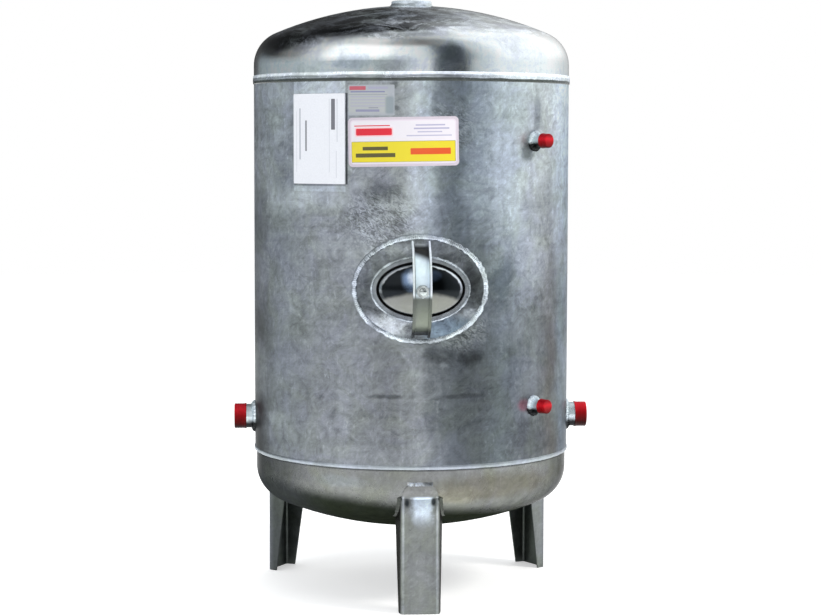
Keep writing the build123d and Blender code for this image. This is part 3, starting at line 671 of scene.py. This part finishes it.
def weld_paint(tree, where, place):
    """Bright zinc with duller spells."""
    return fade(tree, noise(tree, where, 30.0, 4.0, 0.6), 0.42, 0.6, grey(0.8, 0.2), grey(0.34, 0.2))


weld_zinc = zinc_material("zinc_on_welds", weld_paint, (0.2, 0.1, 0.1, 0.5), (0.22, 0.38), (0.4, 0.0005))


def wander(count, seed):
    """Closed random line between -1 and 1: the sum of a_k sin(k t + p_k), with p_k and a_k drawn."""
    drawn = np.random.default_rng(seed)
    waves = np.arange(1, 60)
    phases = drawn.uniform(0, 2 * np.pi, len(waves))
    line = np.sin(np.outer(full_turn(count), waves) + phases) @ drawn.normal(size=len(waves))
    return line / np.abs(line).max()


def unit(vectors):
    """Vectors of length 1."""
    return vectors / np.linalg.norm(vectors, axis=-1, keepdims=True)


def bead(
    name, path, outward, half_width, height, seed, ripple=0.0032, fillet=False, uneven=0.22, zinc=weld_zinc
):
    """Lumpy weld bead along a line, closed all round.

    Point(s, t) = P(s) + w(s) cos(t) A(s) + h(s, t) N(s): P is the line, N points out of the sheet and
    A across the line. Over the top, h = H(s) sin(t) (1 - d |sin(pi (s - b sin t) / p)|), where p is
    the ripple, b half of it and d its depth, and w and H wander. Underneath, h is a little below the
    sheet. A fillet takes only t from 0 to 90 degrees, with its corner in the pipe.
    """
    across = unit(np.cross(np.roll(path, -1, 0) - np.roll(path, 1, 0), outward))
    step = np.linalg.norm(np.roll(path, -1, 0) - path, axis=1)
    s = np.cumsum(step) - step
    ripples = max(round(step.sum() / ripple), 1)
    top = np.linspace(0, np.pi / 2 if fillet else np.pi, 9)
    phase = np.pi * ripples * s[:, None] / step.sum() - 0.5 * np.pi * np.sin(top)[None, :]
    swell = 1 + uneven * wander(len(path), seed)
    spread_out = 1 + uneven * wander(len(path), seed + 1)
    x = half_width * spread_out[:, None] * np.cos(top)[None, :]
    y = height * swell[:, None] * np.sin(top)[None, :] * (1 - RIPPLE_DEPTH * np.abs(np.sin(phase)))
    below = np.full((len(path), 1), -BURIED * height)
    corner = np.full_like(below, -FILLET_CORNER)
    if fillet:
        x = np.concatenate([x, corner, corner, x[:, :1]], 1)
        y = np.concatenate([y, y[:, -1:], below, below], 1)
    else:
        x = np.concatenate([x, x[:, -1:] * FOOT_WIDTH, x[:, :1] * FOOT_WIDTH], 1)
        y = np.concatenate([y, below, below], 1)
    grid = path[:, None] + x[..., None] * across[:, None] + y[..., None] * outward[:, None]
    piece = surface(name, grid, zinc, (True, True))
    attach(piece, "root")
    return piece


def oval_line(half_width, half_height, radius, count):
    """Oval on a round shell: (a cos t, -sqrt(R^2 - x^2), z + b sin t), and the outward directions."""
    t = full_turn(count)
    x = half_width * np.cos(t)
    y = -np.sqrt(radius**2 - x**2)
    return points(x, y, HANDHOLE_HEIGHT + half_height * np.sin(t)), unit(points(x, y, 0.0))


PAD_BEAD = oval_line(0.108, 0.0852, 0.2759, 800)
pad_bead = bead("pad_bead", *PAD_BEAD, 0.005, 0.0048, 11, uneven=0.4)
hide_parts("handhole_pad_weld")
NECK_BEAD = oval_line(0.08, 0.053, 0.2788, 560)
neck_bead = bead("neck_bead", *NECK_BEAD, 0.0026, 0.0032, 12, ripple=0.0026, uneven=0.3)
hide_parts("handhole_neck_weld")


def round_line(radius, height, count):
    """Level circle round the tank, (R sin t, -R cos t, z), and the outward directions."""
    t = full_turn(count)
    outward = points(np.sin(t), -np.cos(t), 0.0)
    return radius * outward + [0, 0, height], outward


def mottled(grain, low, high):
    """Paint that wavers between two greys with a noise."""
    return lambda tree, where, place: blend(tree, noise(tree, where, *grain), low, high)


# The bottom seam is duller and smoother than the other beads, because a machine laid it.
bottom_bead_paint = mottled((22.0, 4.0, 0.6), grey(0.26, 0.2), grey(0.62, 0.2))
bottom_bead_zinc = zinc_material(
    "zinc_on_bottom_seam", bottom_bead_paint, (0.3, 0.1, 0.1, 0.3), (0.3, 0.42), (0.2, 0.0004)
)
BOTTOM_BEAD = round_line(0.2748, SHELL_BOTTOM + 0.0004, 1500)
bottom_bead = bead("bottom_seam_bead", *BOTTOM_BEAD, 0.0036, 0.0015, 13, uneven=0.08, zinc=bottom_bead_zinc)
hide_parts("bottom_seam_weld")


def seat_line(azimuth, height, radius, count):
    """Line where a pipe of radius r meets the shell at an azimuth, and the outward directions.

    It is x = r cos t along the level, sqrt(R^2 - x^2) outwards and r sin t up from the pipe's height.
    """
    t = full_turn(count)
    a = math.radians(azimuth)
    level = np.array([math.cos(a), math.sin(a), 0])
    straight = np.array([math.sin(a), -math.cos(a), 0])
    x = radius * np.cos(t)
    out = np.sqrt(SHELL_RADIUS**2 - x**2)
    flat = x[:, None] * level + out[:, None] * straight
    return flat + (height + radius * np.sin(t))[:, None] * [0, 0, 1], unit(flat)


SIDE_HEIGHT = SHELL_BOTTOM + 0.0535
GAUGE_AZIMUTH = 45.4
WATER_RADIUS = 0.02095
GAUGE_RADIUS = 0.010475
# Each nipple has its azimuth, height, pipe radius, the legs of its weld and the seed of its ripples.
NIPPLES = (
    ("left_nipple", -90.0, SIDE_HEIGHT, WATER_RADIUS, 0.0062, 21),
    ("right_nipple", 90.0, SIDE_HEIGHT, WATER_RADIUS, 0.0062, 22),
    ("upper_gauge_nipple", GAUGE_AZIMUTH, SHELL_TOP - 0.1027, GAUGE_RADIUS, 0.0068, 23),
    ("lower_gauge_nipple", GAUGE_AZIMUTH, SHELL_BOTTOM + 0.093, GAUGE_RADIUS, 0.0068, 24),
)


def above_axis(tree, place, height, radius):
    """Height over a level pipe's middle, as a share of its radius."""
    return calc(tree, "DIVIDE", calc(tree, "SUBTRACT", place["Z"], height), radius)


def pipe_zinc_with_painted_light(name, height, radius):
    """Zinc on a level pipe at a height, with painted light on it."""

    def paint(tree, where, place):
        """Painted highlight, white, above the pipe's middle and painted shade, nearly black, below it."""
        lift = wavered(tree, above_axis(tree, place, height, radius), 0.5, where, 60.0)
        return fade(tree, lift, -0.6, -0.05, grey(0.025), grey(0.88, 0.3), smooth=True)

    return zinc_material(name, paint, (0.3, 0.1, 0.2, 0.3), (0.24, 0.38), (0.3, 0.0004), 0.75, edge=0.5)


for name, azimuth, height, radius, leg, seed in NIPPLES:
    zinc = pipe_zinc_with_painted_light("zinc_on_" + name, height, radius)
    path, outward = seat_line(azimuth, height, radius, 260)
    collar = bead(name + "_bead", path, outward, leg, leg, seed, fillet=True, zinc=zinc)
    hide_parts(name + "_weld")
    dress(zinc, name)


def seam_paint(tree, where, place):
    """Painted white highlight on the upper edge, grey below, lighter to the right, painted shade where it
    turns under.
    """
    streaks = noise(tree, where, 1.0, 4.0, 0.7, 0.5, (22.0, 22.0, 420.0))
    band = fade(tree, streaks, 0.36, 0.64, grey(0.26, 0.1), grey(0.66, 0.1))
    band = fade(tree, place["X"], 0.06, 0.15, band, grey(0.84, 0.1))
    height = wavered(tree, place["Z"], 0.004, where, 24.0, 4.0)
    colour = fade(tree, height, 0.8896, 0.8872, grey(0.99), band, smooth=True)
    return fade(tree, height, 0.8842, 0.8824, colour, (0.085, 0.09, 0.08, 1.0), smooth=True)


def seam_bare(tree, where, place):
    """Duller along the upper edge, so that its painted highlight shows white."""
    return spread(tree, place["Z"], 0.887, 0.8896, 0.85, 0.4)


seam_zinc = zinc_material(
    "zinc_on_top_seam", seam_paint, (0.2, 0.1, 0.3, 0.35), (0.2, 0.32), (0.25, 0.0004),
    matt=seam_bare, specular=0.25,
)
dress(seam_zinc, "top_seam_weld")
dress(weld_zinc, "top_socket_weld", "drain_socket_weld")
dress(bottom_bead_zinc, "shell_seam_weld")

# THE FITTINGS
# Sockets cut from thick pipe, welded on and dipped with the tank. Pipe threads are cut in the two
# sockets' bores.
STEPS_PER_THREAD = 8
SLEEVE_COVER = 0.0003
fitting_paint = mottled((24.0,), grey(0.62, 0.2), grey(0.98, 0.1))
fitting_zinc = zinc_material(
    "zinc_on_fittings", fitting_paint, (0.3, 0.1, 0.2, 0.4), (0.24, 0.38), (0.3, 0.0004), metal=0.5
)
dress(fitting_zinc, "top_socket", "drain_socket")


def thread_wave(reach, turned, pitch):
    """Triangle wave of a thread: |2 frac(z / p - a / 2 pi) - 1|, at the reach z and the angle a."""
    return np.abs(2 * np.mod(reach / pitch - turned / (2 * np.pi), 1) - 1)


def bore_thread(name, bore_radius, low, high, pitch, depth):
    """Threaded sleeve in a bore: r = R - d w inside, with the thread's wave w, and R + c outside."""
    a = full_turn(72)[:, None]
    z = np.linspace(low, high, int((high - low) / pitch * STEPS_PER_THREAD))[None, :]
    run_out = np.clip(np.minimum(z - low, high - z) / pitch, 0, 1)
    inside = bore_radius - depth * thread_wave(z, a, pitch) * run_out
    r = np.concatenate([inside, np.full_like(inside, bore_radius + SLEEVE_COVER)[:, ::-1]], 1)
    grid = points(r * np.sin(a), -r * np.cos(a), np.concatenate([z, z[:, ::-1]], 1))
    piece = surface(name, grid, fitting_zinc, (True, True))
    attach(piece, "root")


TOP_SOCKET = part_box("top_socket")
DRAIN_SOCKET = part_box("drain_socket")
bore_thread(
    "top_socket_thread", 0.02833, TOP_SOCKET[0][2] + 0.001, TOP_SOCKET[1][2] - 0.002, 0.002309, 0.0012
)
bore_thread(
    "drain_socket_thread", 0.01206, DRAIN_SOCKET[0][2] + 0.002, DRAIN_SOCKET[1][2] - 0.001, 0.001814, 0.0009
)

# THE CAPS
# Soft red plastic thread caps, pushed over the nipples. Each has a painted highlight over its middle,
# painted shade on top and painted shade below, nearly black.
CAP_OVER_PIPE = 1.15
CAP_SHADES = (0.15, 0.3, -0.2, -0.2)


def cap_plastic(name, height, radius, shade):
    """Red plastic on a cap at a height, with painted light. shade lifts the dark part, as a share of the
    radius.
    """
    material, tree, output = empty_material(name)
    where = node(tree, "TexCoord").outputs["Object"]
    place = node(tree, "SeparateXYZ", (where,)).outputs
    lift = calc(tree, "SUBTRACT", above_axis(tree, place, height, radius), shade)
    lift = wavered(tree, lift, 0.3, where, 90.0, 4.0, 0.6)
    red = fade(tree, lift, -0.85, 0.0, (0.035, 0.0, 0.0, 1.0), (0.3, 0.001, 0.004, 1.0))
    red = fade(tree, lift, -0.05, 0.4, red, (0.56, 0.009, 0.018, 1.0))
    red = fade(tree, lift, 0.5, 0.95, red, (0.24, 0.002, 0.007, 1.0))
    raised = node(tree, "Bump", {"Height": noise(tree, where, 220.0), "Strength": 0.1, "Distance": 0.0003})
    feeds = {"Base Color": red, "Specular IOR Level": 0.12, "Roughness": 0.4, "Normal": raised.outputs[0]}
    tree.links.new(node(tree, "BsdfPrincipled", feeds).outputs[0], output.inputs[0])
    return material


for (name, _, height, radius, *_), shade in zip(NIPPLES, CAP_SHADES):
    dress(cap_plastic("red_plastic_on_" + name, height, CAP_OVER_PIPE * radius, shade), name + "_cap")

# THE HANDHOLE
# A welded oval neck, and in it a pressed cover, zinc-plated like a mirror and pulled out against
# its rubber ring by a stud, a nut and a bridge of pressed channel. The cover's reflections and the
# bridge's highlights and shade are painted.
neck_paint = mottled((40.0,), grey(0.16, 0.1), grey(0.4, 0.1))
neck_zinc = zinc_material("zinc_on_neck", neck_paint, (0.2, 0.1, 0.1, 0.4), (0.24, 0.36), (0.3, 0.0004))
dress(neck_zinc, "handhole_neck")

COVER_HALF = (0.069, 0.042)
# Painted glints of sky in the cover's dark upper half.
COVER_PAINTED_GLINTS = (
    (-0.015, 0.556, 0.021, 0.024, 0.3, (0.3, 0.4, 0.56, 1.0), 0.8),
    (-0.012, 0.56, 0.014, 0.018, 0.3, (0.88, 0.94, 1.0, 1.0), 0.95),
    (0.016, 0.562, 0.02, 0.012, 0.3, (0.22, 0.28, 0.42, 1.0), 0.8),
)


def cover_paint(tree, where, place):
    """Painted reflection: dark trees above, beige-grey below a bowed horizon, sky glints, a bright upper
    rim.
    """
    horizon = wavered(tree, place["Z"], 0.01, where, 34.0, 3.0)
    horizon = calc(tree, "ADD", horizon, times(tree, place["X"], place["X"], 3.2))
    above = laid_on(tree, grey(0.022, 0.6), spot_mask, (where,), COVER_PAINTED_GLINTS)
    below = fade(tree, place["Z"], 0.5, 0.53, (0.3, 0.29, 0.25, 1.0), (0.21, 0.2, 0.175, 1.0))
    colour = fade(tree, horizon, 0.53, 0.5385, below, above, smooth=True)
    out = oval_reach(tree, place, 0.0, HANDHOLE_HEIGHT, *COVER_HALF)
    # Painted highlight on the upper rim.
    rim = spread(tree, wavered(tree, out, 0.12, where, 60.0), 0.915, 0.945)
    upper = spread(tree, place["Z"], 0.532, 0.552, 0.05, 1.0)
    return blend(tree, times(tree, rim, upper), colour, grey(0.8))


cover_zinc = zinc_material(
    "plated_cover", cover_paint, (0.1, 0.04, 0.04, 0.12), (0.13, 0.2), (0.03, 0.0002), metal=1.0
)
dress(cover_zinc, "handhole_cover", "cover_stud_weld")


def bridge_paint(tree, where, place):
    """Painted highlights on the lips and web above, and painted shadow at the upper foot; grey-green
    below, with painted shade at the edges and at the lower foot.
    """
    z = calc(tree, "SUBTRACT", place["Z"], HANDHOLE_HEIGHT)
    off = calc(tree, "ABSOLUTE", place["X"])
    slant = calc(tree, "ADD", z, times(tree, place["X"], 0.35))
    web = fade(tree, slant, 0.06, 0.046, grey(0.025), grey(0.95, 0.5), smooth=True)
    web = fade(tree, z, 0.068, 0.076, web, grey(0.45), smooth=True)
    web = fade(tree, off, 0.0116, 0.0108, grey(0.1, 0.3), web)
    upper = fade(tree, off, 0.0128, 0.0118, grey(0.9), web)
    low = fade(tree, z, -0.012, -0.052, (0.12, 0.125, 0.105, 1.0), (0.29, 0.3, 0.235, 1.0))
    edge = times(tree, spread(tree, off, 0.0095, 0.0125), 0.55)
    low = blend(tree, edge, low, (0.07, 0.075, 0.06, 1.0))
    low = fade(tree, z, -0.07, -0.062, grey(0.05), low)
    return fade(tree, z, -0.014, -0.004, low, upper, smooth=True)


bridge_zinc = zinc_material(
    "zinc_on_bridge", bridge_paint, (0.15, 0.1, 0.1, 0.12), (0.16, 0.28), (0.1, 0.0003), metal=0.4
)
dress(bridge_zinc, "bridge")

# Washer, nut and stud are plated, and darker in places.
nut_paint = mottled((120.0, 4.0, 0.6), grey(0.25), grey(0.8))
nut_zinc = zinc_material(
    "plated_nut", nut_paint, (0.1, 0.0, 0.0, 0.4), (0.14, 0.26), (0.2, 0.0003), metal=1.0
)
dress(nut_zinc, "bridge_washer", "bridge_nut")

STUD_RADIUS = 0.006
STUD_PITCH = 0.00175
STUD_DEPTH = 0.0009
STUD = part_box("cover_stud")
# The stud is (r cos a, y, r sin a) with r = R - d w, the thread's wave w, a bevelled front end and
# both ends closed in a point.
a = full_turn(40)[:, None]
reach = np.linspace(0, STUD[1][1] - STUD[0][1], 240)[None, :]
wave = thread_wave(reach, a, STUD_PITCH)
r = np.minimum(STUD_RADIUS - STUD_DEPTH * wave, STUD_RADIUS - STUD_DEPTH + reach)
r[:, [0, -1]] = 0.0
stud_grid = points(r * np.cos(a), STUD[0][1] + reach, HANDHOLE_HEIGHT + r * np.sin(a))
stud = surface("threaded_stud", stud_grid, nut_zinc, (True, False))
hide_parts("cover_stud")
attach(stud, "root")

rubber, tree, output = empty_material("black_rubber")
where = node(tree, "TexCoord").outputs["Object"]
dust = noise(tree, where, 60.0)
dusty = blend(tree, dust, (0.008, 0.008, 0.008, 1.0), (0.022, 0.022, 0.021, 1.0))
feeds = {"Base Color": dusty, "Roughness": 0.6}
tree.links.new(node(tree, "BsdfPrincipled", feeds).outputs[0], output.inputs[0])
dress(rubber, "cover_gasket")

# THE LEGS
# Channels pressed from sheet, welded to the bottom head and dipped with it. Painted highlights mark
# their bends, a painted sky reflection the shoulder, and painted shade the inside and the flanges.
LEG_FACE = 0.2745
LEG_INSIDE_PAINTED_SHADE = (0.078, 0.082, 0.073, 1.0)
FLANGE = (0.0305, 0.0345)
BEND_HIGHLIGHT_INNER = (0.0255, 0.0275)
BEND_HIGHLIGHT_OUTER = (0.0305, 0.0285)
FLANGE_INNER = 0.03
FLANGE_LEAN = math.tan(math.radians(11))
TONGUE = (0.194, 0.198)
# Painted shade in the corners beside the shoulder.
LEG_PAINTED_SHADE_SPOTS = (
    (-0.022, 0.186, 0.006, 0.011, 0.3, grey(0.03, 1.0), 0.9),
    (0.022, 0.188, 0.005, 0.009, 0.3, grey(0.03, 1.0), 0.9),
)


def leg_zinc(name, azimuth, face, flange, inside):
    """Zinc on the leg at an azimuth, with painted light and shade on its face and flanges, and painted
    shade inside.
    """

    def paint(tree, where, place):
        """Painted highlights, sky reflection and shade by place on the channel, with the leg turned to the
        front.
        """
        feeds = {"Vector": where, "Angle": math.radians(-azimuth)}
        local = node(tree, "VectorRotate", feeds, rotation_type="Z_AXIS").outputs[0]
        spot = node(tree, "SeparateXYZ", (local,)).outputs
        off = calc(tree, "ABSOLUTE", spot["X"])
        colour = fade(tree, off, *FLANGE, face, flange, smooth=True)
        # Painted highlight along the bends.
        bend = times(tree, spread(tree, off, *BEND_HIGHLIGHT_INNER), spread(tree, off, *BEND_HIGHLIGHT_OUTER))
        bend = times(tree, bend, spread(tree, spot["Z"], 0.06, 0.17, 0.2, 0.55))
        colour = blend(tree, bend, colour, grey(0.62))
        # Painted sky reflection on the shoulder.
        sky = spread(tree, spot["Z"], 0.14, 0.183, smooth=True)
        sky = times(tree, sky, spread(tree, spot["Z"], *TONGUE[::-1], smooth=True))
        aside = calc(tree, "ABSOLUTE", calc(tree, "SUBTRACT", spot["X"], 0.004))
        aside = wavered(tree, aside, 0.02, local, 70.0, 4.0, 0.6)
        sky = times(tree, sky, spread(tree, aside, 0.022, 0.008, smooth=True), 0.9)
        colour = blend(tree, sky, colour, (0.84, 0.9, 0.96, 1.0))
        colour = fade(tree, spot["Z"], *TONGUE, colour, (0.235, 0.225, 0.2, 1.0))
        colour = laid_on(tree, colour, spot_mask, (local,), LEG_PAINTED_SHADE_SPOTS)
        # Painted shade on the inner faces.
        return blend(tree, inner(tree, spot, off), colour, inside)

    def inner(tree, spot, off):
        """1 on the inner faces of the channel."""
        depth = calc(tree, "ADD", spot["Y"], LEG_FACE)
        behind_face = spread(tree, depth, 0.0015, 0.0027)
        flange_inner = calc(tree, "ADD", times(tree, depth, FLANGE_LEAN), FLANGE_INNER)
        within = spread(tree, calc(tree, "SUBTRACT", off, flange_inner), 0.0004, -0.0004)
        return times(tree, behind_face, within, spread(tree, spot["Z"], 0.186, 0.18))

    return zinc_material(name, paint, (0.2, 0.1, 0.35, 0.4), (0.26, 0.4), (0.2, 0.0005), edge=0.25)


# Each leg is a lit or shaded copy of the zinc: painted shade darkens the flanges, most on the front and
# left legs, and the rear legs' faces.
FRONT_LEG = leg_zinc(
    "zinc_on_front_leg", 0, (0.23, 0.228, 0.208, 1.0), (0.045, 0.044, 0.034, 1.0), grey(0.04)
)
dress(FRONT_LEG, "leg_front")
for name, azimuth, flange in (
    ("leg_right", 120, (0.208, 0.206, 0.19, 1.0)),
    ("leg_left", -120, (0.079, 0.082, 0.073, 1.0)),
):
    dress(leg_zinc("zinc_on_" + name, azimuth, grey(0.18), flange, LEG_INSIDE_PAINTED_SHADE), name)


def leg_weld_paint(tree, where, place):
    """Painted highlight, patchy on the left, on the tongue's bead, and painted shade below it beside the
    flanges.
    """
    high = spread(tree, place["Z"], 0.208, 0.214, smooth=True)
    patchy = spread(tree, noise(tree, where, 120.0, 4.0, 0.6), 0.4, 0.56)
    left = spread(tree, place["X"], 0.01, -0.002)
    patchy = calc(tree, "MAXIMUM", times(tree, patchy, left), 0.15)
    bright = blend(tree, patchy, (0.2, 0.2, 0.18, 1.0), grey(0.95, 0.1))
    return blend(tree, high, (0.07, 0.072, 0.058, 1.0), bright)


leg_weld_zinc = zinc_material(
    "zinc_on_leg_welds", leg_weld_paint, (0.3, 0.1, 0.3, 0.9), (0.24, 0.38), (0.8, 0.001)
)
dress(leg_weld_zinc, "leg_front_weld", "leg_left_weld", "leg_right_weld")

# THE STICKERS AND THE BOOKLET
# Printed plastic film with plain fields and bars, and a folded paper sheet taped beside it. None
# of them has words.
RED = (0.72, 0.02, 0.04, 1.0)
BLACK = (0.03, 0.03, 0.03, 1.0)
LILAC = (0.42, 0.4, 0.58, 1.0)
FIBRE_TONE = 0.94
THIN = 0.00025


def printed(name, centre, tilt, base, boxes, roughness, metal=0.0):
    """Material of a printed sheet, from boxes placed from its centre along and up the shell."""
    material, tree, output = empty_material(name)
    where = node(tree, "TexCoord").outputs["Object"]
    place = node(tree, "SeparateXYZ", (where,)).outputs
    across = calc(tree, "SUBTRACT", along_shell(tree, azimuth_of(tree, place)), centre[0])
    up = calc(tree, "SUBTRACT", place["Z"], SHELL_TOP - centre[1])
    lean = math.tan(math.radians(tilt))
    level = calc(tree, "SUBTRACT", up, times(tree, across, lean))
    upright = calc(tree, "ADD", across, times(tree, up, lean))
    darker = (*[FIBRE_TONE * part for part in base[:3]], 1.0)
    colour = fade(tree, noise(tree, where, 400.0, 3.0), 0.3, 0.7, darker, base)
    colour = laid_on(tree, colour, box_mask, (upright, level), boxes)
    feeds = {"Base Color": colour, "Metallic": metal, "Roughness": roughness}
    tree.links.new(node(tree, "BsdfPrincipled", feeds).outputs[0], output.inputs[0])
    return material


# Boxes as on the shell, from the middle of the sheet.
LABEL_BOXES = (
    (0.0, 0.0, 0.0876, 0.0356, 0.005, 0.0006, (0.78, 0.7, 0.77, 1.0), 1.0),
    (0.0, 0.0, 0.0855, 0.0335, 0.004, 0.0008, (0.82, 0.78, 0.82, 1.0), 1.0),
    (0.0, -0.016, 0.0862, 0.0168, 0.001, THIN, (0.3, 0.28, 0.05, 1.0), 1.0),
    (0.0, -0.016, 0.0855, 0.0161, 0.0008, THIN, (0.8, 0.66, 0.03, 1.0), 1.0),
    (-0.048, 0.0165, 0.032, 0.0075, 0.003, THIN, (0.95, 0.55, 0.58, 1.0), 0.8),
    (-0.048, 0.0165, 0.03, 0.0055, 0.002, THIN, RED, 1.0),
    (-0.051, 0.0265, 0.03, 0.0007, 0.0003, THIN, RED, 1.0),
    (0.045, 0.0265, 0.024, 0.001, 0.0003, THIN, LILAC, 0.9),
    (0.047, 0.021, 0.029, 0.0011, 0.0003, THIN, LILAC, 0.9),
    (0.044, 0.0155, 0.02, 0.0009, 0.0003, THIN, LILAC, 0.8),
    (0.043, 0.0095, 0.037, 0.0008, 0.0003, THIN, LILAC, 0.8),
    (-0.046, -0.0105, 0.021, 0.0028, 0.0006, THIN, BLACK, 0.9),
    (-0.046, -0.0215, 0.033, 0.0032, 0.0006, THIN, BLACK, 0.9),
    (0.045, -0.016, 0.033, 0.005, 0.001, THIN, (0.75, 0.1, 0.02, 1.0), 1.0),
)
label_film = printed("main_label_film", (-0.0293, 0.1045), 1.0, (0.66, 0.58, 0.65, 1.0), LABEL_BOXES, 0.32)
dress(label_film, "main_label")
RATING_BOXES = (
    (-0.006, -0.003, 0.031, 0.015, 0.004, 0.006, (0.52, 0.54, 0.52, 1.0), 0.7),
    (0.031, -0.008, 0.005, 0.012, 0.002, 0.004, (0.27, 0.33, 0.36, 1.0), 0.7),
    (-0.006, 0.009, 0.033, 0.0006, 0.0002, THIN, (0.24, 0.26, 0.34, 1.0), 0.5),
    (0.004, -0.0125, 0.008, 0.0005, 0.0002, THIN, (0.2, 0.2, 0.3, 1.0), 0.7),
    (-0.023, 0.0195, 0.014, 0.003, 0.0008, THIN, (0.6, 0.1, 0.14, 1.0), 0.9),
    (0.012, 0.02, 0.016, 0.0016, 0.0004, THIN, LILAC, 0.6),
    (-0.006, 0.0135, 0.029, 0.001, 0.0003, THIN, (0.22, 0.22, 0.42, 1.0), 0.8),
    *[(-0.006, up, 0.029, 0.0005, 0.0002, THIN, LILAC, 0.7) for up in (0.0055, 0.0005, -0.0045, -0.0095)],
    (-0.006, -0.017, 0.02, 0.0018, 0.0004, THIN, (0.25, 0.25, 0.45, 1.0), 0.7),
)
rating_film = printed(
    "rating_label_film", (-0.0821, 0.0372), 0.0, (0.47, 0.5, 0.54, 1.0), RATING_BOXES, 0.35, metal=0.4
)
dress(rating_film, "rating_label")
INK = (0.1, 0.1, 0.12, 1.0)
PALE_INK = (0.48, 0.49, 0.54, 1.0)
BOOKLET_BOXES = (
    (0.031, 0.04, 0.0035, 0.025, 0.0008, THIN, INK, 0.9),
    (0.0385, 0.03, 0.0006, 0.035, 0.0002, THIN, PALE_INK, 0.6),
    (0.024, 0.005, 0.0005, 0.06, 0.0002, THIN, PALE_INK, 0.4),
    (0.037, -0.042, 0.0006, 0.022, 0.0002, THIN, PALE_INK, 0.4),
    (-0.0235, 0.005, 0.0018, 0.025, 0.0005, THIN, INK, 0.75),
    (-0.037, 0.008, 0.0015, 0.042, 0.0005, THIN, PALE_INK, 0.9),
    (-0.045, -0.005, 0.0005, 0.05, 0.0002, THIN, PALE_INK, 0.4),
)
booklet_paper = printed("white_paper", (-0.1795, 0.1), 0.0, (0.88, 0.89, 0.93, 1.0), BOOKLET_BOXES, 0.55)
dress(booklet_paper, "instruction_booklet")
